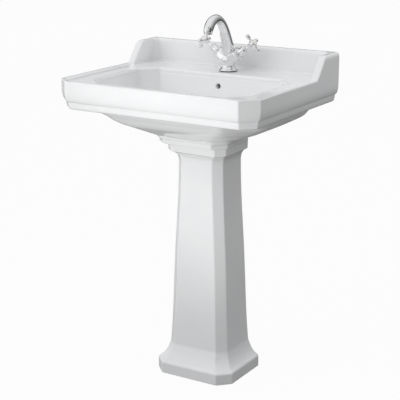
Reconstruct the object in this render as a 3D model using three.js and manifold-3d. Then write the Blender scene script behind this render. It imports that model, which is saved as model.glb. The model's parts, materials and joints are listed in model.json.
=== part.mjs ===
// Pedestal basin with a one-hole mixer tap, click waste, bottle trap and supplies.
// Millimetres, +Z up. The origin is on the floor, below the middle of the basin.
// The wall is the plane y = WALL_Y, and most depths are given as distances from it.
import * as THREE from 'three';
import { mergeVertices } from 'three/addons/utils/BufferGeometryUtils.js';
import Module from 'manifold-3d';

const wasm = await Module();
wasm.setup();

// ---------- driving dimensions ----------

const BASIN_WIDTH = 595;
const BASIN_DEPTH = 475;
const WALL_Y = BASIN_DEPTH / 2;
const RIM_Z = 842; // top of the raised lip
const DECK_Z = 835.5; // flat deck inside the lip
const UPSTAND_Z = 901; // top of the back upstand
const BAND_STEP_Z = 787; // step between the deep rim band and the lower band
const UNDERSIDE_Z = 766; // lower edge of the rim bands
const SEAT_Z = 677.5; // flat of the bowl that stands on the pedestal
const RIM_CORNER = 40; // cut across each front corner
const PANEL_THICKNESS = 18; // upstand panel against the wall
const WING_THICKNESS = 22;
const CORNER_FACET = 25; // slanted facet where panel and wing meet
const APRON = 14; // thickness of the hanging rim bands
const LEDGE_UNDER_Z = 821; // underside of the deck

const GAP = 0.3; // clearance between pieces that touch

const PEDESTAL_TOP_Z = SEAT_Z - GAP;
const PEDESTAL_WALL = 10;

const TAP_DEPTH = 77; // tap axis from the wall
const TAP_HOLE_R = 17.5;
const TAP_BASE_Z = DECK_Z + 2.1; // on its gasket
const ARM_Z = TAP_BASE_Z + 28; // height where the two arm axes cross
const ARM_TILT = THREE.MathUtils.degToRad(57); // arm axis from the vertical
const HUB_ALONG = 91; // crosshead hub centre along the arm axis
const SPOKE_REACH = 29; // spoke tip from the spindle axis
const COLD_REST_TURN = 15; // how far the shut cold crosshead stands from the hot one's pose, degrees

const WASTE_DEPTH = 198; // waste axis from the wall
const WASTE_SEAT_Z = 694; // flat in the bowl floor
const WASTE_HOLE_R = 22.5;
const TRAP_OUTLET_Z = 548;
const SUPPLY_X = 42;
const SUPPLY_DEPTH = 142;
const ISOLATOR_Z = 322; // middle of the isolating valves
const OVERFLOW_Z = 800;
const OVERFLOW_R = 7;
const WALL_BOLT_X = 140;
const WALL_BOLT_Z = 795;
const FLOOR_LUG_X = 84;
const FLOOR_LUG_DEPTH = 122;

const depthY = (depth) => WALL_Y - depth;

// ---------- materials ----------

const finish = (color, roughness, metalness) =>
  new THREE.MeshStandardMaterial({ color, roughness, metalness });

const GLAZE = finish(0xf3f4f4, 0.1, 0);
const CHROME = finish(0xd9dcde, 0.07, 1);
const BRASS = finish(0xb99a54, 0.3, 1);
const COPPER = finish(0xb5714a, 0.3, 1);
const STEEL = finish(0xa8abae, 0.35, 1);
const RUBBER = finish(0x1d1d1e, 0.8, 0);
const PLASTIC = finish(0xebebe8, 0.4, 0);
const DISC_CERAMIC = finish(0xd8d3c6, 0.25, 0);
const ENAMEL = finish(0xf5f3ea, 0.2, 0);

// ---------- solids ----------

// A closed three.js geometry as a manifold solid whose faces point out.
function solid(geometry) {
  const bare = geometry.clone();
  bare.deleteAttribute('normal');
  bare.deleteAttribute('uv');
  const merged = mergeVertices(bare, 1e-3);
  const points = merged.attributes.position.array;
  const corners = [];
  const index = merged.index.array;
  for (let i = 0; i < index.length; i += 3) {
    const [a, b, c] = [index[i], index[i + 1], index[i + 2]];
    if (a !== b && b !== c && c !== a) corners.push(a, b, c);
  }
  if (signedVolume(points, corners) < 0) corners.reverse();
  return new wasm.Manifold(
    new wasm.Mesh({
      numProp: 3,
      vertProperties: new Float32Array(points),
      triVerts: new Uint32Array(corners),
    }),
  );
}

function signedVolume(points, corners) {
  const at = (i) => new THREE.Vector3().fromArray(points, 3 * i);
  let total = 0;
  for (let i = 0; i < corners.length; i += 3) {
    total += at(corners[i]).dot(at(corners[i + 1]).cross(at(corners[i + 2])));
  }
  return total;
}

function geometryOf(manifold) {
  const mesh = manifold.getMesh();
  const geometry = new THREE.BufferGeometry();
  geometry.setAttribute('position', new THREE.BufferAttribute(mesh.vertProperties, 3));
  geometry.setIndex(new THREE.BufferAttribute(mesh.triVerts, 1));
  geometry.computeVertexNormals();
  return geometry;
}

const union = (first, ...others) => others.reduce((whole, other) => whole.add(other), first);
const cut = (first, ...others) => others.reduce((whole, other) => whole.subtract(other), first);

// A solid through rings of points, every ring with the same count and a convex outline.
function loft(rings) {
  const count = rings[0].length;
  const positions = rings.flat().flatMap((p) => [p.x, p.y, p.z]);
  const corners = [];
  for (let i = 0; i + 1 < rings.length; i++) {
    for (let j = 0; j < count; j++) {
      const next = (j + 1) % count;
      const low = i * count;
      const high = low + count;
      corners.push(low + j, low + next, high + next, low + j, high + next, high + j);
    }
  }
  const last = (rings.length - 1) * count;
  for (let j = 1; j + 1 < count; j++) {
    corners.push(0, j + 1, j, last, last + j, last + j + 1);
  }
  const geometry = new THREE.BufferGeometry();
  geometry.setAttribute('position', new THREE.Float32BufferAttribute(positions, 3));
  geometry.setIndex(corners);
  return solid(geometry);
}

// Rectangle with cut corners at height z. front and back are distances from the wall.
function outline(z, { half, front, back, frontCut, backCut }) {
  const plan = [
    [-half, front - frontCut],
    [-half + frontCut, front],
    [half - frontCut, front],
    [half, front - frontCut],
    [half, back + backCut],
    [half - backCut, back],
    [-half + backCut, back],
    [-half, back + backCut],
  ];
  return plan.map(([x, depth]) => new THREE.Vector3(x, depthY(depth), z));
}

// Rows of [z, half, front, frontCut, back, backCut], lowest first.
const octagonLoft = (rows) =>
  loft(
    rows.map(([z, half, front, frontCut, back, backCut]) =>
      outline(z, { half, front, frontCut, back, backCut }),
    ),
  );

function box(x0, x1, depth0, depth1, z0, z1) {
  const geometry = new THREE.BoxGeometry(x1 - x0, Math.abs(depth1 - depth0), z1 - z0);
  geometry.translate((x0 + x1) / 2, depthY((depth0 + depth1) / 2), (z0 + z1) / 2);
  return solid(geometry);
}

// A turned solid about +Z. The profile of [radius, z] starts and ends on the axis.
function turned(profile, sides = 18) {
  const points = profile.map(([radius, z]) => new THREE.Vector2(radius, z));
  const geometry = new THREE.LatheGeometry(points, sides);
  geometry.rotateX(Math.PI / 2);
  geometry.rotateZ(Math.PI / sides);
  return solid(geometry);
}

// A turned ring about +Z. The profile closes on itself.
const turnedRing = (profile, sides = 18) => turned([...profile, profile[0]], sides);

const rod = (radius, z0, z1, sides = 18) =>
  turned([[0, z0], [radius, z0], [radius, z1], [0, z1]], sides);

const tube = (outer, inner, z0, z1, sides = 18) =>
  turnedRing([[inner, z0], [outer, z0], [outer, z1], [inner, z1]], sides);

// A hexagonal nut about +Z with a round hole.
const hexNut = (radius, hole, z0, z1) => cut(rod(radius, z0, z1, 6), rod(hole, z0 - 1, z1 + 1));

const moved = (manifold, x, y, z) => manifold.translate([x, y, z]);

// Points a solid built along +Z to +Y, towards the wall.
const towardsWall = (manifold) => manifold.rotate([-90, 0, 0]);

// ---------- basin ----------

// Outline of the rim at a height, set in from the full size on the front and sides.
const rimRow = (z, inset, back = 0) => [
  z,
  BASIN_WIDTH / 2 - inset,
  BASIN_DEPTH - inset,
  RIM_CORNER - inset * 0.58,
  back,
  4,
];

const BULGE = [
  // [z, half, front, frontCut, back, backCut]
  [SEAT_Z, 112, 300, 34, 118, 28],
  [686, 116, 303, 36, 116, 30],
  [690, 133, 315, 46, 108, 35],
  [701, 165, 338, 60, 92, 45],
  [712, 193, 362, 74, 75, 48],
  [725, 219, 388, 81, 60, 42],
  [742, 245, 409, 85, 45, 38],
  [UNDERSIDE_Z, 252, 432, 69, 25, 30],
];

const BOWL = [
  [WASTE_SEAT_Z, 42, 236, 12, 162, 12],
  [698, 114, 290, 40, 161, 36],
  [706, 160, 320, 54, 158, 46],
  [720, 197, 352, 62, 152, 50],
  [742, 220, 388, 60, 141, 48],
  [790, 229, 414, 52, 133, 45],
  [826, 232, 422, 46, 128, 44],
  [DECK_Z - 2.5, 233, 425.5, 46, 124.5, 48],
  [DECK_Z + 3, 239, 431.5, 46, 118.5, 48],
];

function rimBands() {
  const deep = octagonLoft([
    rimRow(BAND_STEP_Z, 6),
    rimRow(BAND_STEP_Z + 8, 2.5),
    rimRow(BAND_STEP_Z + 18, 0.6),
    rimRow(BAND_STEP_Z + 28, 0),
    rimRow(RIM_Z - 3, 0),
    rimRow(RIM_Z, 2.5),
  ]);
  const lower = octagonLoft([
    rimRow(UNDERSIDE_Z, 16),
    rimRow(UNDERSIDE_Z + 5, 12.5),
    rimRow(UNDERSIDE_Z + 12, 10.5),
    rimRow(BAND_STEP_Z + 1, 9),
  ]);
  const inside = octagonLoft([
    rimRow(DECK_Z, 15.5, PANEL_THICKNESS),
    rimRow(RIM_Z, 6, PANEL_THICKNESS),
    rimRow(RIM_Z + 2, 6, PANEL_THICKNESS),
  ]);
  return cut(union(deep, lower), inside);
}

// Side view of an upstand piece, as [depth, z] pairs, swept across from x0 to x1.
function swept(profile, x0, x1) {
  const shape = new THREE.Shape(profile.map(([depth, z]) => new THREE.Vector2(depthY(depth), z)));
  const geometry = new THREE.ExtrudeGeometry(shape, { depth: x1 - x0, bevelEnabled: false });
  geometry.rotateX(Math.PI / 2);
  geometry.rotateZ(Math.PI / 2);
  geometry.translate(x0, 0, 0);
  return solid(geometry);
}

function upstand() {
  const half = BASIN_WIDTH / 2;
  const low = BAND_STEP_Z + 20;
  const panelSide = [
    [0, low],
    [PANEL_THICKNESS, low],
    [PANEL_THICKNESS, UPSTAND_Z - 10],
    [PANEL_THICKNESS - 3.5, UPSTAND_Z - 3],
    [PANEL_THICKNESS - 9, UPSTAND_Z],
    [0, UPSTAND_Z],
  ];
  const wingSide = [
    [0, low],
    [131, low],
    [131, RIM_Z - 3],
    [126, RIM_Z + 4],
    [88, UPSTAND_Z - 8],
    [80, UPSTAND_Z - 2],
    [72, UPSTAND_Z],
    [0, UPSTAND_Z],
  ];
  const facet = (side) => {
    const corner = (z, size) =>
      [
        [half - WING_THICKNESS + 1, PANEL_THICKNESS - 1],
        [half - WING_THICKNESS - size, PANEL_THICKNESS - 1],
        [half - WING_THICKNESS + 1, PANEL_THICKNESS + size],
      ].map(([x, depth]) => new THREE.Vector3(side * x, depthY(depth), z));
    return loft([corner(low, CORNER_FACET), corner(UPSTAND_Z - 6, 11)]);
  };
  const whole = union(
    swept(panelSide, -half, half),
    swept(wingSide, -half, -half + WING_THICKNESS),
    swept(wingSide, half - WING_THICKNESS, half),
    facet(-1),
    facet(1),
  );
  return whole.intersect(roundedSlab());
}

// Everything between the floor of the deck and the top, with rounded outer corners.
function roundedSlab() {
  const half = BASIN_WIDTH / 2;
  const radius = 12;
  const shape = new THREE.Shape();
  shape.moveTo(-half, BAND_STEP_Z);
  shape.lineTo(half, BAND_STEP_Z);
  shape.lineTo(half, UPSTAND_Z - radius);
  shape.absarc(half - radius, UPSTAND_Z - radius, radius, 0, Math.PI / 2, false);
  shape.absarc(-half + radius, UPSTAND_Z - radius, radius, Math.PI / 2, Math.PI, false);
  const geometry = new THREE.ExtrudeGeometry(shape, {
    depth: BASIN_DEPTH,
    bevelEnabled: false,
    curveSegments: 4,
  });
  geometry.rotateX(Math.PI / 2);
  geometry.translate(0, WALL_Y, 0);
  return solid(geometry).intersect(
    octagonLoft([rimRow(BAND_STEP_Z, 0), rimRow(UPSTAND_Z + 5, 0)]),
  );
}

// Open space under the deck and round the bowl, which makes the rim bands hang.
function underRim() {
  const inner = octagonLoft([
    rimRow(UNDERSIDE_Z - 10, 24, APRON),
    rimRow(UNDERSIDE_Z + 4, 24, APRON),
    rimRow(BAND_STEP_Z, 20, APRON),
    rimRow(LEDGE_UNDER_Z, APRON, APRON),
  ]);
  const [, ...rest] = BULGE[BULGE.length - 1];
  const bowlOuter = octagonLoft([...BULGE, [LEDGE_UNDER_Z + 5, ...rest]]);
  return cut(inner, bowlOuter);
}

// Open space behind the bowl, where the tap is fixed and the pipes come down.
const tapRecess = () =>
  octagonLoft([
    [SEAT_Z - 12, 88, 160, 6, 10, 6],
    [SEAT_Z, 88, 152, 6, 10, 6],
    [700, 108, 140, 8, 10, 6],
    [725, 160, 128, 8, 10, 6],
    [760, 212, 117, 8, 10, 6],
    [UNDERSIDE_Z, 217, 116, 8, 10, 6],
    [UNDERSIDE_Z + 0.1, 217, 116, 8, APRON, 6],
    [LEDGE_UNDER_Z, 222, 113, 8, APRON, 6],
  ]);

// Rib on the back of the bowl that carries the overflow duct down to the waste.
const overflowRib = () =>
  octagonLoft([
    [SEAT_Z, 26, 190, 4, 142, 4],
    [700, 26, 190, 4, 128, 4],
    [745, 26, 150, 4, 108, 4],
    [LEDGE_UNDER_Z + 2, 26, 130, 4, 97, 4],
  ]).subtract(octagonLoft(BOWL));

const overflowDuct = () =>
  octagonLoft([
    [681, 12, 180, 2, 160, 2],
    [687, 12, 179, 2, 154, 2],
    [690, 12, 158, 2, 147, 2],
    [702, 12, 152, 2, 141, 2],
    [716, 12, 143, 2, 132, 2],
    [745, 12, 129, 2, 117, 2],
    [OVERFLOW_Z + 11, 12, 116, 2, 103, 2],
  ]);

function basin() {
  const shell = cut(
    union(rimBands(), octagonLoft(BULGE), upstand()),
    octagonLoft(BOWL),
    underRim(),
    cut(tapRecess(), overflowRib()),
    overflowDuct(),
    moved(towardsWall(rod(OVERFLOW_R, 0, 24, 20)), 0, depthY(134), OVERFLOW_Z),
    moved(rod(TAP_HOLE_R, LEDGE_UNDER_Z - 5, DECK_Z + 5), 0, depthY(TAP_DEPTH), 0),
    moved(rod(WASTE_HOLE_R, SEAT_Z - 5, WASTE_SEAT_Z + 5), 0, depthY(WASTE_DEPTH), 0),
    ...[-1, 1].map((side) =>
      moved(towardsWall(rod(7, -40, 5, 16)), side * WALL_BOLT_X, WALL_Y, WALL_BOLT_Z),
    ),
  );
  return shell;
}

// ---------- pedestal ----------

// Outer sections, lowest first: foot, concave flare, long tapered shaft, cove and two tiers.
const PEDESTAL = [
  // [z, half, front, frontCut, back, backCut]
  [0, 121, 286.5, 33, 97, 6],
  [30, 121, 286.5, 33, 97, 6],
  [33, 119.5, 285, 33, 97, 6],
  [38, 113, 278, 31, 99, 6],
  [50, 104, 268, 28, 102, 6],
  [66, 97, 260, 26, 105, 6],
  [85, 92.6, 254.5, 24, 108, 6],
  [330, 82, 248, 22.7, 115, 6],
  [606, 70, 243.5, 22, 119, 6],
  [618, 71.5, 245, 22, 119, 6],
  [628, 76, 250, 22, 119, 6],
  [635, 83, 257.5, 22, 119, 6],
  [638, 89.5, 264, 22.5, 119, 6],
  [639.5, 90.5, 265, 22.5, 119, 6],
  [661, 91.5, 266, 22.5, 119, 6],
  [663, 98, 280, 28, 119, 6],
  [665, 106, 292, 32, 139, 14],
  [674, 107, 294, 32, 141, 14],
  [PEDESTAL_TOP_Z, 105, 292, 32, 141, 14],
];

function pedestal() {
  const inner = ([z, half, front, frontCut, back]) => {
    const wall = z < 60 ? PEDESTAL_WALL + 4 : PEDESTAL_WALL;
    const pinch = z > 612 ? Math.max(0, half - 78) : 0; // the cove is solid behind its tiers
    return [z, half - wall - pinch * 0.7, front - wall - pinch * 0.9, frontCut - 5, back + 10, 5];
  };
  const rows = PEDESTAL.map(inner);
  rows[0][0] = -1;
  rows[rows.length - 1][0] = PEDESTAL_TOP_Z + 1;
  const slotHalf = (half) => half - PEDESTAL_WALL - 8;
  const slot = octagonLoft([
    [-1, slotHalf(121) - 20, 150, 2, 60, 2],
    [60, slotHalf(100) - 8, 150, 2, 60, 2],
    [120, slotHalf(91), 150, 2, 60, 2],
    [606, slotHalf(70), 150, 2, 60, 2],
    [PEDESTAL_TOP_Z + 1, slotHalf(70), 150, 2, 60, 2],
  ]);
  const shell = cut(octagonLoft(PEDESTAL), octagonLoft(rows), slot);
  const lugs = [-1, 1].map((side) =>
    cut(
      box(
        Math.min(side * (FLOOR_LUG_X - 13), side * (FLOOR_LUG_X + 26)),
        Math.max(side * (FLOOR_LUG_X - 13), side * (FLOOR_LUG_X + 26)),
        FLOOR_LUG_DEPTH - 20,
        FLOOR_LUG_DEPTH + 16,
        0,
        12,
      ),
      moved(rod(4, -1, 20, 16), side * FLOOR_LUG_X, depthY(FLOOR_LUG_DEPTH), 0),
    ),
  );
  const holes = [-1, 1].map((side) =>
    moved(rod(9, 12, 30, 16), side * FLOOR_LUG_X, depthY(FLOOR_LUG_DEPTH), 0),
  );
  return cut(union(shell, ...lugs), ...holes);
}

// ---------- tap ----------

// Spout centre line as [reach, height above the tap base, radius] from the body to the outlet.
const SPOUT = [
  [0, 49.9, 17.4],
  [2.2, 58, 17.3],
  [6, 70.3, 16.7],
  [11, 84.8, 15.2],
  [17.4, 100.4, 14.1],
  [25.4, 116.1, 12.9],
  [36.4, 130.6, 12.1],
  [49.8, 141.4, 11.8],
  [64.1, 146.4, 12],
  [78.5, 144.9, 12.5],
  [91.6, 138.6, 13.1],
  [101, 129.4, 13.5],
  [106.4, 120, 13],
  [107.7, 112.5, 11.9],
];
const OUTLET_DEPTH = TAP_DEPTH + 107.7;
const OUTLET_Z = TAP_BASE_Z + 112.5;

// Round sweep along the spout, thinner by wall, with both ends carried on by extra.
function spoutSweep(wall, extra) {
  const points = SPOUT.map(
    ([reach, height]) => new THREE.Vector3(0, depthY(TAP_DEPTH + reach), TAP_BASE_Z + height),
  );
  points[0].z -= extra;
  points[points.length - 1].z -= extra;
  const sides = 16;
  const rings = points.map((point, i) => {
    const before = points[Math.max(i - 1, 0)];
    const after = points[Math.min(i + 1, points.length - 1)];
    const along = new THREE.Vector3().subVectors(after, before).normalize();
    if (i === 0) along.set(0, 0, 1);
    if (i === points.length - 1) along.set(0, 0, -1);
    const across = new THREE.Vector3(1, 0, 0);
    const up = new THREE.Vector3().crossVectors(along, across);
    const radius = SPOUT[i][2] - wall;
    return Array.from({ length: sides }, (_, k) => {
      const angle = (2 * Math.PI * (k + 0.5)) / sides;
      return point
        .clone()
        .addScaledVector(across, radius * Math.cos(angle))
        .addScaledVector(up, radius * Math.sin(angle));
    });
  });
  return loft(rings);
}

const spout = () => cut(spoutSweep(0, 0), spoutSweep(3, 3));

const ARM_SIDES = 8;
const ARM_END = 41;

// One arm of the tap body along +Z, eight-sided, narrowing outwards to a thin flange.
const arm = () =>
  turned(
    [[0, 0], [19.5, 0], [18.5, 10], [15.6, 34.5], [17.4, 38], [17.4, ARM_END], [0, ARM_END]],
    ARM_SIDES,
  );

const armBore = () =>
  turned([[0, 4], [5, 4], [5, 14.7], [8.7, 14.7], [8.7, ARM_END + 3], [0, ARM_END + 3]], 20);

// Turns a solid built along +Z onto the hot (left, -1) or cold (right, +1) arm axis.
const ontoArm = (manifold, side) =>
  moved(
    manifold.rotate([0, THREE.MathUtils.radToDeg(side * ARM_TILT), 0]),
    0,
    depthY(TAP_DEPTH),
    ARM_Z,
  );

function tapBody() {
  const z = TAP_BASE_Z;
  const foot = turned([
    [0, 0],
    [26, 0],
    [26.3, 1.5],
    [25.2, 3.5],
    [22.4, 5.5],
    [19.6, 8.5],
    [17.8, 12],
    [0, 12],
  ]);
  const vase = turned(
    [[0, 7], [17.4, 7], [18.5, 13], [20, 20], [21.4, 29], [21.4, 31], [18.6, 35], [0, 35]],
    ARM_SIDES,
  );
  const column = rod(17.4, 20, 49.6);
  const outer = union(
    moved(foot, 0, depthY(TAP_DEPTH), z),
    moved(union(vase, column), 0, depthY(TAP_DEPTH), z),
    ontoArm(arm(), -1),
    ontoArm(arm(), 1),
  );
  return cut(
    outer,
    ontoArm(armBore(), -1),
    ontoArm(armBore(), 1),
    moved(rod(10, 24, 60, 20), 0, depthY(TAP_DEPTH), z),
    ...[-1, 1].map((side) => moved(rod(5.3, -1, 13, 16), side * 7, depthY(TAP_DEPTH + 5), z)),
    moved(rod(4.2, -1, 9, 16), 0, depthY(TAP_DEPTH - 9), z),
    spoutSweep(-GAP, GAP),
  );
}

const bonnet = () =>
  cut(
    turned(
      [
        [0, 26],
        [8.4, 26],
        [8.4, ARM_END + GAP],
        [12.5, ARM_END + GAP],
        [12.5, 43],
        [10.8, 45],
        [10.2, 56],
        [11, 57.5],
        [11, 60],
        [9, 62],
        [6.4, 62.6],
        [6.2, 66],
        [0, 66],
      ],
      20,
    ),
    rod(4.4, 20, 70, 20),
  );

const spindle = () =>
  turned([[0, 21.6], [7, 21.6], [7, 25.4], [4, 25.4], [4, 88], [0, 88]], 16);

const valveDisc = (z0, z1) => cut(rod(8.2, z0, z1, 20), moved(rod(2.6, z0 - 1, z1 + 1, 12), 4, 0, 0));

// Crosshead with four barrel-ended spokes, turned about the spindle by restTurn degrees.
function crosshead(restTurn) {
  const hub = turned(
    [
      [0, 76],
      [6, 76],
      [6, 80],
      [9.6, 85],
      [10.6, 88],
      [10.6, 94.5],
      [9.4, 97],
      [0, 97],
    ],
    16,
  );
  const spoke = turned(
    [
      [0, 6],
      [3.5, 6],
      [3.1, SPOKE_REACH - 13],
      [4.7, SPOKE_REACH - 11],
      [5.2, SPOKE_REACH - 7.5],
      [5.2, SPOKE_REACH - 3.5],
      [4, SPOKE_REACH - 0.8],
      [0, SPOKE_REACH],
    ],
    10,
  );
  const spokes = [0, 90, 180, 270].map((turn) =>
    moved(spoke.rotate([0, 90, 0]).rotate([0, 0, turn + restTurn]), 0, 0, HUB_ALONG),
  );
  return cut(union(hub, ...spokes), rod(4.3, 70, 88.3, 12), rod(2.4, 80, 100, 8), rod(7.9, 93, 100));
}

const handleScrew = () =>
  cut(
    turned([[0, 89], [2.1, 89], [2.1, 93.3], [4, 93.3], [4, 95.2], [0, 95.2]], 12),
    solid(new THREE.BoxGeometry(1.1, 10, 2).translate(0, 0, 95.4)),
  );

const indexCap = () =>
  turned([[0, 95.6], [7.6, 95.6], [7.6, 98], [6.9, 100.2], [4.6, 102.2], [0, 103]], 20);

const tapGasket = () =>
  moved(tube(25, 18, DECK_Z + GAP, TAP_BASE_Z - GAP), 0, depthY(TAP_DEPTH), 0);

const fixingStud = () =>
  moved(rod(4, LEDGE_UNDER_Z - 44, TAP_BASE_Z + 8, 16), 0, depthY(TAP_DEPTH - 9), 0);

// Horseshoe plate that straddles the tails, with its slot open to the front.
function horseshoe(z0, z1) {
  const shape = new THREE.Shape();
  shape.absarc(0, 0, 23, THREE.MathUtils.degToRad(-50), THREE.MathUtils.degToRad(230), false);
  shape.lineTo(-13.5, -2);
  shape.lineTo(-12.5, 2.2);
  shape.lineTo(12.5, 2.2);
  shape.lineTo(13.5, -2);
  const geometry = new THREE.ExtrudeGeometry(shape, {
    depth: z1 - z0,
    bevelEnabled: false,
    curveSegments: 16,
  });
  geometry.translate(0, 0, z0);
  return moved(cut(solid(geometry), moved(rod(4.4, z0 - 1, z1 + 1, 16), 0, 9, 0)), 0, depthY(TAP_DEPTH), 0);
}

const FIXING_GASKET_Z = LEDGE_UNDER_Z - GAP - 3;
const FIXING_WASHER_Z = FIXING_GASKET_Z - GAP - 2.5;
const FIXING_NUT_Z = FIXING_WASHER_Z - GAP - 9;

const fixingNut = () =>
  moved(hexNut(8, 4.3, FIXING_NUT_Z, FIXING_NUT_Z + 9), 0, depthY(TAP_DEPTH - 9), 0);

// Ring below the spout's end with a sleeve up inside it.
const aeratorHousing = () =>
  moved(
    turnedRing(
      [
        [6.6, OUTLET_Z - 3.2],
        [10.6, OUTLET_Z - 3.2],
        [11.2, OUTLET_Z - 2.2],
        [11.2, OUTLET_Z - GAP],
        [8.4, OUTLET_Z - GAP],
        [8.4, OUTLET_Z + 4],
        [5.4, OUTLET_Z + 4],
        [5.4, OUTLET_Z + 3],
        [6.6, OUTLET_Z + 3],
      ],
      20,
    ),
    0,
    depthY(OUTLET_DEPTH),
    0,
  );

function aeratorScreen() {
  const disc = rod(6.3, OUTLET_Z - 2.2, OUTLET_Z + 2.7, 20);
  const holes = [0, 1, 2, 3, 4, 5].map((k) => {
    const angle = (k * Math.PI) / 3;
    return moved(rod(1.2, OUTLET_Z - 10, OUTLET_Z + 10, 8), 4 * Math.cos(angle), 4 * Math.sin(angle), 0);
  });
  const middle = rod(1.2, OUTLET_Z - 10, OUTLET_Z + 10, 8);
  return moved(cut(disc, middle, ...holes), 0, depthY(OUTLET_DEPTH), 0);
}

// ---------- supplies ----------

// A tube of one radius along a smooth route, given as [x, depth, z] points.
function pipe(route, radius, sides, steps) {
  const points = route.map(([x, depth, z]) => new THREE.Vector3(x, depthY(depth), z));
  const path = new THREE.CatmullRomCurve3(points, false, 'centripetal');
  const shape = new THREE.Shape(
    Array.from({ length: sides }, (_, k) => {
      const angle = (2 * Math.PI * k) / sides;
      return new THREE.Vector2(radius * Math.cos(angle), radius * Math.sin(angle));
    }),
  );
  const settings = { steps, bevelEnabled: false, extrudePath: path };
  return solid(new THREE.ExtrudeGeometry(shape, settings));
}

const tail = (side) =>
  pipe(
    [
      [side * 7, TAP_DEPTH + 5, TAP_BASE_Z + 12],
      [side * 7, TAP_DEPTH + 5, 815],
      [side * 7, TAP_DEPTH + 5, 792],
      [side * 17, 86, 768],
      [side * 36, 104, 738],
      [side * SUPPLY_X, 128, 706],
      [side * SUPPLY_X, SUPPLY_DEPTH, 670],
      [side * SUPPLY_X, SUPPLY_DEPTH, 600],
      [side * SUPPLY_X, SUPPLY_DEPTH, 480],
      [side * SUPPLY_X, SUPPLY_DEPTH, ISOLATOR_Z + 14],
    ],
    5,
    8,
    24,
  );

const atSupply = (manifold, side) => moved(manifold, side * SUPPLY_X, depthY(SUPPLY_DEPTH), 0);

const isolatorBody = () =>
  cut(
    union(
      rod(12, ISOLATOR_Z - 10, ISOLATOR_Z + 10, 6),
      rod(9.5, ISOLATOR_Z - 20, ISOLATOR_Z + 20, 20),
    ),
    rod(5.4, ISOLATOR_Z - 30, ISOLATOR_Z + 30, 16),
    rod(7.8, ISOLATOR_Z - 30, ISOLATOR_Z - 11, 16),
    moved(towardsWall(rod(4.4, 0, 20, 16)), 0, 0, ISOLATOR_Z),
  );

const isolatorScrew = () =>
  moved(
    cut(
      towardsWall(turned([[0, -3.2], [3, -3.2], [4.1, 4], [4.1, 11], [0, 11]], 16)),
      solid(new THREE.BoxGeometry(1.4, 3, 9).translate(0, 11, 0)),
    ),
    0,
    0,
    ISOLATOR_Z,
  );

// A compression nut that closes on a pipe at one end and wraps the valve's end.
function compressionNut(pipeRadius, up) {
  const valveEnd = 8;
  const profile = cut(rod(13, 0, 15, 6), rod(pipeRadius + 0.3, -1, 20, 20), rod(9.8, -1, valveEnd, 20));
  return up
    ? moved(profile, 0, 0, ISOLATOR_Z + 12.4)
    : moved(profile.rotate([180, 0, 0]), 0, 0, ISOLATOR_Z - 12.4);
}

const supplyPipe = () => tube(7.5, 6.5, 0, ISOLATOR_Z - 12, 20);

// ---------- waste and trap ----------

const atWaste = (manifold) => moved(manifold, 0, depthY(WASTE_DEPTH), 0);

const WASTE_END_Z = 590;
const WASTE_TUBE_R = 20.5;

function wasteBody() {
  const z = WASTE_SEAT_Z + 2.1;
  const wall = turnedRing([
    [17.5, WASTE_END_Z],
    [WASTE_TUBE_R, WASTE_END_Z],
    [WASTE_TUBE_R, z],
    [31.5, z],
    [31.5, z + 1.2],
    [29, z + 2.4],
    [23, z + 2.4],
    [17.5, z - 5],
  ]);
  const bar = solid(new THREE.BoxGeometry(37, 5, 4).translate(0, 0, 666));
  const guide = union(bar, bar.rotate([0, 0, 90]), rod(9, 662, 668, 16));
  const slot = solid(new THREE.BoxGeometry(13, 60, 9).translate(0, 0, 686));
  return atWaste(cut(union(wall, guide), rod(4.6, 600, 700, 16), slot));
}

const wasteTopSeal = () =>
  atWaste(tube(30, WASTE_TUBE_R + GAP, WASTE_SEAT_Z + GAP, WASTE_SEAT_Z + 1.8));

const wasteBackSeal = () => atWaste(tube(29, WASTE_TUBE_R + GAP, SEAT_Z - 4.3, SEAT_Z - GAP));

const wasteBacknut = () =>
  atWaste(cut(rod(30, SEAT_Z - 13, SEAT_Z - 4.6, 12), rod(WASTE_TUBE_R + GAP, 600, 700)));

const PLUG_Z = WASTE_SEAT_Z + 11.8; // underside of the raised plug

const wastePlug = () =>
  atWaste(
    turned([
      [0, 650],
      [4.2, 650],
      [4.2, PLUG_Z],
      [17, PLUG_Z],
      [20, PLUG_Z + 1.5],
      [20.4, PLUG_Z + 3],
      [19, PLUG_Z + 4.9],
      [12, PLUG_Z + 6.7],
      [0, PLUG_Z + 7.3],
    ]),
  );

const wasteCartridge = () =>
  atWaste(turned([[0, 632], [7.5, 632], [8.4, 634], [8.4, 661.7], [4.6, 661.7], [4.6, 640], [0, 640]], 16));

const trapInletNut = () =>
  atWaste(
    cut(rod(28.5, 581, 603, 12), rod(24.4, 570, 598.5), rod(WASTE_TUBE_R + 0.4, 570, 610)),
  );

const trapInletSeal = () =>
  atWaste(turnedRing([[20.8, 593], [24, 593], [24, 598.2], [20.8, 598.2]]));

function trapBody() {
  const bottle = turnedRing([
    [28, 500],
    [31, 500],
    [31, 572],
    [24.1, 579],
    [24.1, 592.7],
    [21, 592.7],
    [21, 578],
    [28, 569],
  ]);
  const branch = towardsWall(rod(21, 0, 60));
  const branchBore = towardsWall(rod(18.3, 0, 80));
  const inside = turned([[0, 499], [28, 499], [28, 569], [21, 578], [0, 578]]);
  const side = cut(branch, inside.translate([0, 0, -TRAP_OUTLET_Z]));
  return atWaste(
    cut(
      union(bottle, side.translate([0, 0, TRAP_OUTLET_Z])),
      cut(branchBore, rod(26, -40, 40)).translate([0, 0, TRAP_OUTLET_Z]),
    ),
  );
}

const trapDipTube = () =>
  atWaste(turnedRing([[13.5, 478], [15.5, 478], [15.5, 583], [20.6, 585], [20.6, 588], [13.5, 588]], 20));

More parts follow.
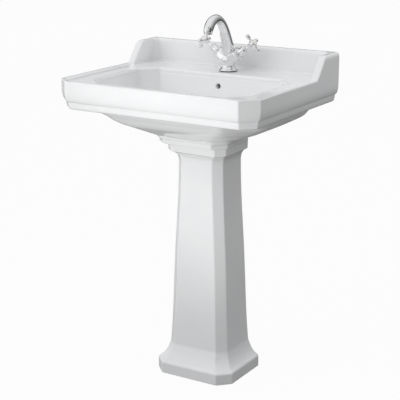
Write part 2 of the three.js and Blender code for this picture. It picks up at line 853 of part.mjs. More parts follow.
const trapCup = () =>
  atWaste(
    turned([
      [0, 450],
      [22, 450],
      [30, 455],
      [34.5, 466],
      [34.5, 517],
      [31.4, 517],
      [31.4, 497],
      [28, 494],
      [28, 468],
      [24, 459],
      [0, 457],
    ]),
  );

const trapCupSeal = () => atWaste(tube(31, 28.4, 497.2, 499.7));

const OUTLET_NUT_DEPTH = WASTE_DEPTH - 63;

const trapOutletNut = () =>
  moved(
    towardsWall(cut(rod(26, -12, 10, 12), rod(21.4, -13, 4), rod(18.2, -13, 20))),
    0,
    depthY(OUTLET_NUT_DEPTH),
    TRAP_OUTLET_Z,
  );

const WASTE_PIPE_START = WASTE_DEPTH - 45; // 15 mm inside the trap's branch
const WASTE_PIPE_END = 45; // open end towards the wall

const wastePipe = () =>
  moved(
    towardsWall(tube(17.8, 15.8, 0, WASTE_PIPE_START - WASTE_PIPE_END)),
    0,
    depthY(WASTE_PIPE_START),
    TRAP_OUTLET_Z,
  );

// ---------- fixings ----------

const atWallBolt = (manifold, side) =>
  moved(towardsWall(manifold), side * WALL_BOLT_X, WALL_Y, WALL_BOLT_Z);

const wallBolt = () => rod(5, -46, -0.5, 16);
const wallWasher = () => tube(15, 5.3, -APRON - 3.3, -APRON - GAP);
const wallNut = () => hexNut(9, 5.3, -APRON - 12.6, -APRON - 3.6);

const floorScrew = () =>
  turned([[0, 0.5], [3, 0.5], [3, 12.3], [7, 12.3], [7, 14], [5.5, 16.3], [0, 17]], 16);

// ---------- assembly ----------

const object = new THREE.Group();

function piece(name, manifold, material, parent = object) {
  const mesh = new THREE.Mesh(geometryOf(manifold), material);
  mesh.name = name;
  parent.add(mesh);
}

piece('basin', basin(), GLAZE);
piece('pedestal', pedestal(), GLAZE);

piece('tap_body', tapBody(), CHROME);
piece('tap_gasket', tapGasket(), RUBBER);
piece('spout', spout(), CHROME);
piece('aerator_housing', aeratorHousing(), CHROME);
piece('aerator_screen', aeratorScreen(), PLASTIC);
piece('fixing_stud', fixingStud(), BRASS);
piece('fixing_gasket', horseshoe(FIXING_GASKET_Z, FIXING_GASKET_Z + 3), RUBBER);
piece('fixing_washer', horseshoe(FIXING_WASHER_Z, FIXING_WASHER_Z + 2.5), STEEL);
piece('fixing_nut', fixingNut(), BRASS);

for (const [supply, side] of [['hot', -1], ['cold', 1]]) {
  const axis = new THREE.Group();
  axis.position.set(0, depthY(TAP_DEPTH), ARM_Z);
  axis.rotation.y = side * ARM_TILT;
  object.add(axis);
  piece(`${supply}_bonnet`, bonnet(), CHROME, axis);
  piece(`${supply}_fixed_disc`, valveDisc(15, 18), DISC_CERAMIC, axis);
  piece(`${supply}_turning_disc`, valveDisc(18.3, 21.3), DISC_CERAMIC, axis);
  piece(`${supply}_spindle`, spindle(), CHROME, axis);
  piece(`${supply}_crosshead`, crosshead(side > 0 ? COLD_REST_TURN : 0), CHROME, axis);
  piece(`${supply}_handle_screw`, handleScrew(), STEEL, axis);
  piece(`${supply}_index_cap`, indexCap(), ENAMEL, axis);

  piece(`${supply}_tail`, tail(side), COPPER);
  piece(`${supply}_tail_nut`, atSupply(compressionNut(5, true), side), BRASS);
  piece(`${supply}_isolator_body`, atSupply(isolatorBody(), side), BRASS);
  piece(`${supply}_isolator_screw`, atSupply(isolatorScrew(), side), STEEL);
  piece(`${supply}_supply_nut`, atSupply(compressionNut(7.5, false), side), BRASS);
  piece(`${supply}_supply_pipe`, atSupply(supplyPipe(), side), COPPER);
}

piece('waste_body', wasteBody(), CHROME);
piece('waste_top_seal', wasteTopSeal(), RUBBER);
piece('waste_back_seal', wasteBackSeal(), RUBBER);
piece('waste_backnut', wasteBacknut(), BRASS);
piece('waste_plug', wastePlug(), CHROME);
piece('waste_click_cartridge', wasteCartridge(), BRASS);
piece('trap_inlet_nut', trapInletNut(), PLASTIC);
piece('trap_inlet_seal', trapInletSeal(), RUBBER);
piece('trap_body', trapBody(), PLASTIC);
piece('trap_dip_tube', trapDipTube(), PLASTIC);
piece('trap_cup', trapCup(), PLASTIC);
piece('trap_cup_seal', trapCupSeal(), RUBBER);
piece('trap_outlet_nut', trapOutletNut(), PLASTIC);
piece('waste_pipe', wastePipe(), PLASTIC);

for (const [name, side] of [['left', -1], ['right', 1]]) {
  piece(`wall_bolt_${name}`, atWallBolt(wallBolt(), side), STEEL);
  piece(`wall_washer_${name}`, atWallBolt(wallWasher(), side), PLASTIC);
  piece(`wall_nut_${name}`, atWallBolt(wallNut(), side), STEEL);
  piece(
    `floor_screw_${name}`,
    moved(floorScrew(), side * FLOOR_LUG_X, depthY(FLOOR_LUG_DEPTH), 0),
    STEEL,
  );
}

export default object;
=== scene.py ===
# Looks of a pedestal basin with its one-hole mixer tap, click waste, bottle trap and supplies.
# Shapes are worked out in millimetres in the frame of the CAD model: +Z up, front towards -Y,
# wall at the largest Y. A "depth" is a distance from the wall. Meshes are made in metres.
import json
import math

import bmesh
import bpy
import numpy as np
from mathutils import Matrix, Vector

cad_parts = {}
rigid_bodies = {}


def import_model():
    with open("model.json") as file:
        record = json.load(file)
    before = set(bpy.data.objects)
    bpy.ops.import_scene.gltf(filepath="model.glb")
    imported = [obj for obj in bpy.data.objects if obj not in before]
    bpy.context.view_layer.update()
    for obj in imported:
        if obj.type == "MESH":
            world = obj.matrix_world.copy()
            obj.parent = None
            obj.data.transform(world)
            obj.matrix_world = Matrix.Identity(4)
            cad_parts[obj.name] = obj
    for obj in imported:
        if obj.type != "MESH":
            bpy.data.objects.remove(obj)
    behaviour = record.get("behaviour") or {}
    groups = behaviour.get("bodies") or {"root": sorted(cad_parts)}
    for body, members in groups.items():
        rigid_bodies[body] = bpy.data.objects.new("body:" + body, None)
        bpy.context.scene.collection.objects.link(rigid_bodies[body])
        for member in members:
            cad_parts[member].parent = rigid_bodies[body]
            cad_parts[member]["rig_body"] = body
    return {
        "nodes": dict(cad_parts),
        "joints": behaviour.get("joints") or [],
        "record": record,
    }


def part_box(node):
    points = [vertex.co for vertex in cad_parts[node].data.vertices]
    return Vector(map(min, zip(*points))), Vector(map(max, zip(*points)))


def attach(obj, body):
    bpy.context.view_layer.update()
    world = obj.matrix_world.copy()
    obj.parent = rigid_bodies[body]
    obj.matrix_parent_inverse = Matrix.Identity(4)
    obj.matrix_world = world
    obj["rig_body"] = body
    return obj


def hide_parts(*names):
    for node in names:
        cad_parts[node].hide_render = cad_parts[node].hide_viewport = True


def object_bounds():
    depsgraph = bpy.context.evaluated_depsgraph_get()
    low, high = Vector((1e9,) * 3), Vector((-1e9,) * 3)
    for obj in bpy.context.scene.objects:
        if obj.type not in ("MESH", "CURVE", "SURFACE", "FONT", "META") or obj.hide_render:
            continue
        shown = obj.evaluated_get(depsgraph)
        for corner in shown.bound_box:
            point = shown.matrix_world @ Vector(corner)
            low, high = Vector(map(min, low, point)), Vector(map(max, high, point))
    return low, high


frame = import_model()
cad_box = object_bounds()

MM = 0.001
GAP = 0.3  # clearance between pieces that touch
MESH_MARGIN = 4  # room around the large castings while they are meshed

# ---------- places, from the frame ----------

WALL = cad_box[1].y / MM
RIM_HALF = cad_box[1].x / MM
RIM_FRONT = WALL - cad_box[0].y / MM
UPSTAND_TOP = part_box("basin")[1].z / MM
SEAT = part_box("basin")[0].z / MM
PEDESTAL_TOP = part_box("pedestal")[1].z / MM


def middle(node):
    """Centre of a CAD node's box, in millimetres."""
    low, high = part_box(node)
    return (low + high) / 2 / MM


def span(node, axis=2):
    """Lowest and highest coordinate of a CAD node along an axis, in millimetres."""
    low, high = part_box(node)
    return low[axis] / MM, high[axis] / MM


TAP = Vector((0, middle("tap_gasket").y, span("tap_body")[0]))
DECK = span("tap_gasket")[0] - GAP
RIM_TOP = DECK + 6.5
BAND_STEP = DECK - 48.5
UNDERSIDE = DECK - 69.5
LEDGE_UNDER = DECK - 14.5
OVERFLOW_Z = DECK - 35.5
WASTE = Vector((0, middle("waste_plug").y, 0))
BOWL_FLOOR = span("waste_top_seal")[0] - GAP
TRAP_OUTLET = middle("waste_pipe").z
ARM_CENTRE = Vector(frame["joints"][0]["pos_m"]) / MM

BODY_OF = {node: obj["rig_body"] for node, obj in frame["nodes"].items()}

# ---------- distances ----------
# A field gives a distance that is negative inside the solid. Arrays x, y and z may be a sparse
# grid or lists of points.


def smooth_max(a, b, width):
    """The larger of two distances, rounded where they meet."""
    blend = np.maximum(width - np.abs(a - b), 0)
    return np.maximum(a, b) + blend * blend / (4 * width)


def smooth_min(a, b, width):
    return -smooth_max(-a, -b, width)


def cut(whole, hole, width=1.0):
    """The solid without the hole, with its new edges rounded."""
    return smooth_max(whole, -hole, width)


def slab(place, low, high):
    """Distance from a layer between two coordinates."""
    return np.maximum(low - place, place - high)


def monotone_curve(at, heights, values):
    """A smooth curve through values that never overshoots them, read at the heights given."""
    step = np.diff(heights)
    slope = np.diff(values) / step
    product = slope[:-1] * slope[1:]
    total = np.where(product > 0, slope[:-1] + slope[1:], 1)
    tangent = np.concatenate([slope[:1], np.where(product > 0, 2 * product / total, 0), slope[-1:]])
    i = np.clip(np.searchsorted(heights, at) - 1, 0, len(step) - 1)
    t = np.clip((at - heights[i]) / step[i], 0, 1)
    return (
        values[i] * (1 + 2 * t) * (1 - t) ** 2
        + values[i + 1] * t * t * (3 - 2 * t)
        + step[i] * (tangent[i] * t * (1 - t) ** 2 + tangent[i + 1] * t * t * (t - 1))
    )


class Outline:
    """A rectangle with cut corners that changes with height.

    Rows are (z, half width, front, front cut, back, back cut), lowest first.
    """

    FINENESS = 0.25

    def __init__(self, rows, edge, curved=True):
        rows = np.array(rows, float)
        read = monotone_curve if curved else np.interp
        self.z = np.arange(rows[0, 0], rows[-1, 0] + self.FINENESS, self.FINENESS)
        self.values = np.array([read(self.z, rows[:, 0], column) for column in rows.T[1:]])
        self.slopes = np.gradient(self.values, self.z, axis=1)
        self.edge = edge

    def distance(self, x, depth, z):
        half, front, front_cut, back, back_cut = (np.interp(z, self.z, v) for v in self.values)
        d_half, d_front, d_cut, d_back, d_back_cut = (np.interp(z, self.z, s) for s in self.slopes)
        across = np.abs(x) - half
        ahead = depth - front
        behind = back - depth
        ahead_cut = (across + ahead + front_cut) / np.sqrt(2 + (d_half + d_front - d_cut) ** 2)
        behind_cut = (across + behind + back_cut) / np.sqrt(2 + (d_half - d_back - d_back_cut) ** 2)
        found = smooth_max(across / np.hypot(1, d_half), ahead_cut, self.edge)
        found = smooth_max(found, ahead / np.hypot(1, d_front), self.edge)
        found = smooth_max(found, behind_cut, self.edge)
        return smooth_max(found, behind / np.hypot(1, d_back), self.edge)


def rounded_curve(z, heights, radii):
    """Radius of a turned shape at a height, with its slope taken out of the distance."""
    table = np.arange(heights[0], heights[-1] + 0.1, 0.1)
    values = monotone_curve(table, np.array(heights, float), np.array(radii, float))
    slopes = np.gradient(values, table)
    return np.interp(z, table, values), np.hypot(1, np.interp(z, table, slopes))


def eight_sided(u, v, edge):
    """Distance from an axis as an eight-sided gauge, with a flat towards each of u and v."""
    u, v = np.abs(u), np.abs(v)
    return smooth_max(smooth_max(u, v, edge), (u + v) * math.sqrt(0.5), edge)


# ---------- meshes ----------

CREASE = math.radians(32)  # edges sharper than this stay crisp on turned and swept pieces


def fine_surface(field, low, high, cell):
    """Points and four-sided faces of the surface where a field is zero, in millimetres."""
    axes = [np.arange(a, b + cell, cell) for a, b in zip(low, high)]
    x, y, z = np.meshgrid(*axes, indexing="ij", sparse=True)
    value = np.broadcast_to(field(x, y, z), [len(a) for a in axes]).astype(np.float32)
    inside = value < 0
    size = np.array(value.shape) - 1
    count = np.zeros(size, np.int8)
    corners = [np.array(c) for c in np.ndindex(2, 2, 2)]
    for c in corners:
        count += inside[c[0]:c[0] + size[0], c[1]:c[1] + size[1], c[2]:c[2] + size[2]]
    active = (count > 0) & (count < 8)
    index = np.full(size, -1)
    cells = np.argwhere(active)
    index[active] = np.arange(len(cells))
    total = np.zeros((len(cells), 3))
    hits = np.zeros(len(cells))
    for a in corners:
        for b in corners:
            if (b - a).sum() != 1 or (b - a).min() < 0:
                continue
            va, vb = value[tuple((cells + a).T)], value[tuple((cells + b).T)]
            crossed = (va < 0) != (vb < 0)
            share = np.where(crossed, va / np.where(crossed, va - vb, 1), 0)
            total[crossed] += (a + share[:, None] * (b - a))[crossed]
            hits += crossed
    points = np.array(low) + cell * (cells + total / hits[:, None])
    faces = []
    for axis in range(3):
        u, v = np.eye(3, dtype=int)[(axis + 1) % 3], np.eye(3, dtype=int)[(axis + 2) % 3]
        first = [slice(None)] * 3
        second = [slice(None)] * 3
        first[axis], second[axis] = slice(None, -1), slice(1, None)
        starts_inside = inside[tuple(first)]
        changed = np.argwhere(starts_inside != inside[tuple(second)])
        keep = (changed >= u + v).all(1) & (changed < size).all(1)
        changed = changed[keep]
        outward = starts_inside[tuple(changed.T)]
        ring = [index[tuple((changed - c).T)] for c in (u + v, v, 0 * u, u)]
        quad = np.stack(ring, 1)
        quad[~outward] = quad[~outward][:, ::-1]
        faces.append(quad)
    return settle(field, points, cell), np.concatenate(faces)


def slope_of(field, points, step):
    """Gradient of a field at points."""
    found = np.zeros_like(points)
    for axis in range(3):
        offset = np.eye(3)[axis] * step
        found[:, axis] = (field(*(points + offset).T) - field(*(points - offset).T)) / (2 * step)
    return found


def settle(field, points, cell, rounds=3):
    """Moves points onto the surface along its slope."""
    points = points.copy()
    for _ in range(rounds):
        value = field(*points.T)
        slope = slope_of(field, points, cell * 0.02)
        move = value[:, None] * slope / np.maximum((slope * slope).sum(1), 0.05)[:, None]
        far = np.linalg.norm(move, axis=1)[:, None]
        points -= move * np.minimum(1, 0.5 * cell / np.maximum(far, 1e-9))
    return points


def mesh_of(name, points, faces):
    """A mesh from arrays of points in millimetres and of faces with one count of corners."""
    mesh = bpy.data.meshes.new(name)
    corners = faces.shape[1]
    mesh.vertices.add(len(points))
    mesh.vertices.foreach_set("co", (points * MM).astype(np.float32).ravel())
    mesh.loops.add(faces.size)
    mesh.loops.foreach_set("vertex_index", faces.astype(np.int32).ravel())
    mesh.polygons.add(len(faces))
    mesh.polygons.foreach_set("loop_start", np.arange(0, faces.size, corners, dtype=np.int32))
    mesh.update(calc_edges=True)
    mesh.validate()
    return mesh


def vertex_array(mesh):
    co = np.zeros(len(mesh.vertices) * 3, np.float32)
    mesh.vertices.foreach_get("co", co)
    return co.reshape(-1, 3).astype(float)


def thinned(mesh, triangles):
    """The mesh with its flat stretches in larger triangles."""
    mesh.calc_loop_triangles()
    ratio = triangles / len(mesh.loop_triangles)
    if ratio >= 1:
        return mesh
    holder = bpy.data.objects.new("thinning", mesh)
    bpy.context.scene.collection.objects.link(holder)
    holder.modifiers.new("thin", "DECIMATE").ratio = ratio
    graph = bpy.context.evaluated_depsgraph_get()
    done = bpy.data.meshes.new_from_object(holder.evaluated_get(graph))
    bpy.data.objects.remove(holder)
    return done


def field_mesh(name, field, low, high, cell, triangles):
    """A closed mesh of a field's surface, with the field's own slope as its shading."""
    points, faces = fine_surface(field, low, high, cell)
    mesh = thinned(mesh_of(name, points, faces), triangles)
    points = settle(field, vertex_array(mesh) / MM, cell)
    mesh.vertices.foreach_set("co", (points * MM).astype(np.float32).ravel())
    mesh.update()
    mesh.shade_smooth()
    normal = slope_of(field, points, cell * 0.05)
    normal /= np.maximum(np.linalg.norm(normal, axis=1), 1e-9)[:, None]
    mesh.normals_split_custom_set_from_vertices(normal.tolist())
    return mesh


def moved_mesh(mesh, name, matrix):
    """A copy of a mesh whose points, in millimetres, are moved by a matrix."""
    copy = mesh.copy()
    copy.name = name
    copy.transform(Matrix.Scale(MM, 4) @ matrix @ Matrix.Scale(1 / MM, 4))
    return copy


def rounded(profile, radius, closed=False, steps=4):
    """A profile of (radius, height) points with an arc at each corner."""
    points = [Vector(p) for p in profile]
    count = len(points)
    found = []
    for i, corner in enumerate(points):
        if not closed and i in (0, count - 1):
            found.append(corner)
            continue
        before, after = points[i - 1] - corner, points[(i + 1) % count] - corner
        half = before.angle(after, math.pi) / 2
        if half > math.radians(86):
            found.append(corner)
            continue
        tangent = min(radius / math.tan(half), 0.45 * before.length, 0.45 * after.length)
        start, end = corner + before.normalized() * tangent, corner + after.normalized() * tangent
        for k in range(steps + 1):
            t = k / steps
            found.append((1 - t) ** 2 * start + 2 * t * (1 - t) * corner + t * t * end)
    return found


def turned(profile, edge=0.5, closed=False, sides=64, flats=0, across=0.0):
    """A turned mesh about +Z. With flats, its outside is milled to that many flat sides."""
    outline = rounded(profile, edge, closed)
    if closed:
        outline.append(outline[0])
    rings = []
    for r, z in outline:
        ring = []
        for k in range(sides):
            angle = 2 * math.pi * k / sides
            reach = r
            if flats:
                turn = math.pi / flats
                flat = across / 2 / math.cos((angle + turn) % (2 * turn) - turn)
                reach = min(r, flat)
            ring.append((reach * math.cos(angle), reach * math.sin(angle), z))
        rings.append(ring)
    return lofted(rings)


def lofted(rings, closed=False):
    """Points and faces of a skin through rings with the same count, its ends left open."""
    rings = np.array(rings, float)
    count, sides = rings.shape[:2]
    i = np.arange(count - (0 if closed else 1))[:, None]
    j = np.arange(sides)[None, :]
    k, up = (j + 1) % sides, (i + 1) % count
    faces = np.stack([i * sides + j, i * sides + k, up * sides + k, up * sides + j], -1)
    return rings.reshape(-1, 3), faces.reshape(-1, 4)


def sweep_rings(path, radii, sides):
    """Rings of a round sweep along a path, without twist."""
    path = [Vector(p) for p in path]
    tangents = [
        (path[min(i + 1, len(path) - 1)] - path[max(i - 1, 0)]).normalized()
        for i in range(len(path))
    ]
    across = tangents[0].orthogonal().normalized()
    rings = []
    for point, tangent, radius in zip(path, tangents, map(float, radii)):
        across = (across - across.dot(tangent) * tangent).normalized()
        up = tangent.cross(across)
        turns = [2 * math.pi * k / sides for k in range(sides)]
        rings.append([point + radius * (math.cos(a) * across + math.sin(a) * up) for a in turns])
    return rings


def smooth_path(points, per_span=8):
    """Points along a smooth curve through the ones given, whatever their count of columns."""
    points = np.array(points, float)
    ends = np.vstack([2 * points[0] - points[1], points, 2 * points[-1] - points[-2]])
    found = []
    for p0, p1, p2, p3 in zip(ends, ends[1:], ends[2:], ends[3:]):
        first, second = p2 - p0, 2 * p0 - 5 * p1 + 4 * p2 - p3
        third = 3 * p1 - p0 - 3 * p2 + p3
        for t in np.arange(per_span) / per_span:
            found.append(0.5 * (2 * p1 + first * t + second * t * t + third * t**3))
    return np.array(found + [points[-1]])


def closed_mesh(name, shape, matrix=Matrix.Identity(4)):
    """A welded and closed mesh from points and faces, shaded smooth between its creases."""
    mesh = mesh_of(name, *shape)
    build = bmesh.new()
    build.from_mesh(mesh)
    bmesh.ops.remove_doubles(build, verts=build.verts, dist=1e-6)
    bmesh.ops.holes_fill(build, edges=build.edges, sides=0)
    bmesh.ops.recalc_face_normals(build, faces=build.faces)
    build.transform(Matrix.Scale(MM, 4) @ matrix @ Matrix.Scale(1 / MM, 4))
    build.to_mesh(mesh)
    build.free()
    mesh.shade_smooth()
    mesh.set_sharp_from_angle(angle=CREASE)
    return mesh


# ---------- materials ----------


class Shader:
    """A principled material with small helpers for its texture nodes."""

    def __init__(self, name, metallic=0.0, ior=1.5):
        self.material = bpy.data.materials.new(name)
        self.material.use_nodes = True
        self.nodes = self.material.node_tree.nodes
        self.links = self.material.node_tree.links
        self.principled = self.nodes["Principled BSDF"]
        self.principled.inputs["Metallic"].default_value = metallic
        self.principled.inputs["IOR"].default_value = ior
        self.place = self.nodes.new("ShaderNodeTexCoord").outputs["Object"]
        self.height = None

    def noise(self, scale, detail, stretch=(1, 1, 1)):
        """Noise between 0 and 1, with scale in blobs per metre."""
        mapping = self.nodes.new("ShaderNodeMapping")
        mapping.inputs["Scale"].default_value = stretch
        self.links.new(self.place, mapping.inputs["Vector"])
        noise = self.nodes.new("ShaderNodeTexNoise")
        noise.inputs["Scale"].default_value = scale
        noise.inputs["Detail"].default_value = detail
        self.links.new(mapping.outputs["Vector"], noise.inputs["Vector"])
        return noise.outputs["Fac"]

    def patches(self, scale, detail, low=0, high=1, start=0.3, end=0.7):
        """Noise taken from start..end to low..high."""
        node = self.nodes.new("ShaderNodeMapRange")
        node.inputs["From Min"].default_value = start
        node.inputs["From Max"].default_value = end
        node.inputs["To Min"].default_value = low
        node.inputs["To Max"].default_value = high
        self.links.new(self.noise(scale, detail), node.inputs["Value"])
        return node.outputs["Result"]

    def blend(self, value, one, other):
        """A colour between two, by a value from 0 to 1."""
        node = self.nodes.new("ShaderNodeMix")
        node.data_type = "RGBA"
        for socket, colour in (("A", one), ("B", other)):
            target = [s for s in node.inputs if s.name == socket and s.type == "RGBA"][0]
            if hasattr(colour, "is_linked"):
                self.links.new(colour, target)
            else:
                target.default_value = (*colour, 1)
        self.links.new(value, node.inputs["Factor"])
        return [s for s in node.outputs if s.type == "RGBA"][0]

    def colour(self, value):
        self.links.new(value, self.principled.inputs["Base Color"])

    def roughness(self, value):
        self.links.new(value, self.principled.inputs["Roughness"])

    def bump(self, value, depth):
        """Adds a bump of a depth in metres on top of those already there."""
        node = self.nodes.new("ShaderNodeBump")
        node.inputs["Distance"].default_value = depth
        self.links.new(value, node.inputs["Height"])
        if self.height is not None:
            self.links.new(self.height, node.inputs["Normal"])
        self.height = node.outputs["Normal"]
        self.links.new(self.height, self.principled.inputs["Normal"])


def glaze():
    shader = Shader("white_glaze", ior=1.52)
    body = shader.blend(shader.patches(9, 2), (0.845, 0.85, 0.855), (0.87, 0.873, 0.873))
    specks = shader.patches(900, 1, start=0.72, end=0.8)
    shader.colour(shader.blend(specks, body, (0.79, 0.79, 0.78)))
    shader.roughness(shader.patches(26, 3, 0.07, 0.13))
    shader.bump(shader.noise(38, 1), 0.00012)
    shader.bump(shader.noise(260, 2), 0.000008)
    return shader.material


def chrome():
    shader = Shader("chrome_plate", metallic=1)
    shader.colour(shader.blend(shader.patches(60, 2), (0.86, 0.865, 0.87), (0.9, 0.9, 0.9)))
    shader.roughness(shader.patches(110, 4, 0.025, 0.075))
    shader.bump(shader.noise(160, 2), 0.00002)
    return shader.material


def machined(name, dark, light, roughness, rings, patina=None):
    """A bare metal with tool marks, and with darker patches where it has aged."""
    shader = Shader(name, metallic=1)
    body = shader.blend(shader.patches(140, 4), dark, light)
    if patina:
        body = shader.blend(shader.patches(35, 6, 0, 0.75, 0.5, 0.72), body, patina)
    shader.colour(body)
    shader.roughness(shader.patches(220, 4, roughness, roughness + 0.18))
    shader.bump(shader.noise(rings, 2, stretch=(0.05, 0.05, 1)), 0.00002)
    return shader.material


def moulded(name, low, high, roughness, grain, depth):
    """Plastic, rubber or enamel with a moulded skin."""
    shader = Shader(name)
    shader.colour(shader.blend(shader.patches(30, 3), low, high))
    shader.roughness(shader.patches(90, 3, roughness, roughness + 0.12))
    shader.bump(shader.noise(grain, 3), depth)
    return shader.material


BRASS, OLD_BRASS = ((0.62, 0.42, 0.16), (0.78, 0.57, 0.27)), (0.4, 0.27, 0.13)
COPPER, OLD_COPPER = ((0.72, 0.34, 0.2), (0.85, 0.47, 0.31)), (0.36, 0.17, 0.1)
STEEL = ((0.5, 0.51, 0.52), (0.66, 0.67, 0.68))
RUBBER = ((0.012, 0.012, 0.013), (0.03, 0.03, 0.031))
PLASTIC = ((0.78, 0.78, 0.76), (0.83, 0.83, 0.82))
DISC_CERAMIC = ((0.66, 0.63, 0.55), (0.72, 0.69, 0.62))
ENAMEL = ((0.82, 0.8, 0.74), (0.87, 0.86, 0.81))

MATERIALS = {
    "glaze": glaze(),
    "chrome": chrome(),
    "brass": machined("bare_brass", *BRASS, 0.22, 2600, OLD_BRASS),
    "copper": machined("drawn_copper", *COPPER, 0.2, 900, OLD_COPPER),
    "steel": machined("plain_steel", *STEEL, 0.25, 3000),
    "rubber": moulded("sealing_rubber", *RUBBER, 0.55, 1500, 0.00006),
    "plastic": moulded("white_plastic", *PLASTIC, 0.26, 700, 0.00003),
    "disc_ceramic": moulded("lapped_ceramic", *DISC_CERAMIC, 0.12, 900, 0.00001),
    "enamel": moulded("white_enamel", *ENAMEL, 0.06, 300, 0.00001),
}

SLOT_OF = {part["node"]: part["material_slot"] for part in frame["record"]["subparts"]}


def show(node, mesh):
    """Shows a finished mesh in place of a CAD node, on that node's body and with its finish."""
    piece = bpy.data.objects.new(f"{node}_finished", mesh)
    bpy.context.scene.collection.objects.link(piece)
    mesh.materials.clear()
    mesh.materials.append(MATERIALS[SLOT_OF[node]])
    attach(piece, BODY_OF[node])
    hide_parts(node)


def upright(place):
    """Moves a shape built about +Z to the vertical axis through a place."""
    return Matrix.Translation((place.x, place.y, 0))


def lying(place):
    """Turns a shape built along +Z to point at the wall, along the axis through a place."""
    return Matrix.Translation((place.x, 0, place.z)) @ Matrix.Rotation(-math.pi / 2, 4, "X")


def show_turned(node, profile, place, edge=0.5, closed=False, **milling):
    """Shows a piece turned from a profile of (radius, height) points."""
    show(node, closed_mesh(node, turned(profile, edge, closed, **milling), place))


def show_field(node, field, low, high, cell, triangles, place):
    """Shows a piece meshed from a field about its own axis."""
    show(node, moved_mesh(field_mesh(node, field, low, high, cell, triangles), node, place))


def show_sleeve(node, inner, outer, place, edge=0.6, axis=2):
    """Shows a plain ring or pipe as long as its CAD node."""
    low, high = span(node, axis)
    profile = [(inner, low), (outer, low), (outer, high), (inner, high)]
    show_turned(node, profile, place, edge, closed=True)


# ---------- basin ----------

APRON = 14  # thickness of the hanging bands
PANEL = 18  # thickness of the upstand against the wall
WING = 22  # thickness of the upstand's two sides
CORNER_CUT = 40  # across each front corner of the rim


def rim_row(z, inset, back=-60):
    """Outline of the rim, set in from its full size on the front and sides."""
    return (z, RIM_HALF - inset, RIM_FRONT - inset, CORNER_CUT - 0.58 * inset, back, 4)


RIM_SIDES = Outline([
    rim_row(BAND_STEP, 6),
    rim_row(BAND_STEP + 8, 2.5),
    rim_row(BAND_STEP + 18, 0.6),
    rim_row(BAND_STEP + 28, 0),
    rim_row(UPSTAND_TOP + 5, 0),
], edge=1.6)
LOWER_BAND = Outline([
    rim_row(UNDERSIDE, 14.5),
    rim_row(UNDERSIDE + 5, 12),
    rim_row(UNDERSIDE + 12, 10.3),
    rim_row(BAND_STEP + 6, 9),
], edge=1.6)
LIP_INSIDE = Outline([
    rim_row(DECK, 15.5),
    rim_row(RIM_TOP, 6),
    rim_row(RIM_TOP + 2, 5),
], edge=2, curved=False)
BELLY = Outline([
    (SEAT, 112, 300, 34, 118, 28),
    (SEAT + 8.5, 116, 303, 36, 116, 30),
    (SEAT + 12.5, 133, 315, 46, 108, 35),
    (SEAT + 23.5, 165, 338, 60, 92, 45),
    (SEAT + 34.5, 193, 362, 74, 75, 48),
    (SEAT + 47.5, 219, 388, 81, 60, 42),
    (SEAT + 64.5, 245, 409, 85, 45, 38),
    (UNDERSIDE, 252, 432, 69, 25, 30),
    (LEDGE_UNDER + 5, 253, 433, 69, 25, 30),
], edge=9)
BOWL = Outline([
    (BOWL_FLOOR, 42, 236, 12, 162, 12),
    (BOWL_FLOOR + 4, 114, 290, 40, 161, 36),
    (BOWL_FLOOR + 12, 160, 320, 54, 158, 46),
    (BOWL_FLOOR + 26, 197, 352, 62, 152, 50),
    (BOWL_FLOOR + 48, 220, 388, 60, 141, 48),
    (DECK - 45.5, 229, 414, 52, 133, 45),
    (DECK - 9.5, 232, 422, 46, 128, 44),
    (DECK + 12, 233, 425, 46, 126, 44),
], edge=4)
UNDER_RIM = Outline([
    rim_row(UNDERSIDE - 10, 24, APRON),
    rim_row(UNDERSIDE + 4, 24, APRON),
    rim_row(BAND_STEP, 20, APRON),
    rim_row(LEDGE_UNDER, APRON, APRON),
], edge=6, curved=False)
TAP_RECESS = Outline([
    (SEAT - 12, 88, 160, 6, 10, 6),
    (SEAT, 88, 152, 6, 10, 6),
    (SEAT + 22.5, 108, 140, 8, 10, 6),
    (SEAT + 47.5, 160, 128, 8, 10, 6),
    (SEAT + 82.5, 212, 117, 8, 10, 6),
    (UNDERSIDE, 217, 116, 8, 10, 6),
    (UNDERSIDE + 1, 217, 116, 8, APRON, 6),
    (LEDGE_UNDER, 222, 113, 8, APRON, 6),
], edge=4, curved=False)
OVERFLOW_RIB = Outline([
    (SEAT, 26, 190, 4, 142, 4),
    (SEAT + 22.5, 26, 190, 4, 128, 4),
    (SEAT + 67.5, 26, 150, 4, 108, 4),
    (LEDGE_UNDER + 2, 26, 130, 4, 97, 4),
], edge=4, curved=False)
DUCT_TOP = OVERFLOW_Z + 11
DUCT_FLOOR = SEAT + 3.5
OVERFLOW_DUCT = Outline([
    (DUCT_FLOOR, 12, 180, 2, 160, 2),
    (SEAT + 9.5, 12, 179, 2, 154, 2),
    (SEAT + 12.5, 12, 158, 2, 147, 2),
    (SEAT + 24.5, 12, 152, 2, 141, 2),
    (SEAT + 38.5, 12, 143, 2, 132, 2),
    (SEAT + 67.5, 12, 129, 2, 117, 2),
    (DUCT_TOP, 12, 116, 2, 103, 2),
], edge=2, curved=False)
OVERFLOW_R = 7
OVERFLOW_DEPTH = 122  # where the overflow passes through the bowl's back
TAP_HOLE_R = 17.5
WASTE_HOLE_R = 22.5
BOLT_HOLE_R = 7
BOLT_HOLE_END = 40
SLANT_RUN, SLANT_RISE = 38, 47  # slope of the upstand's sides, down to the rim
SLANT_DEPTH = 126
FACET = 25  # facet between panel and wing, at its foot


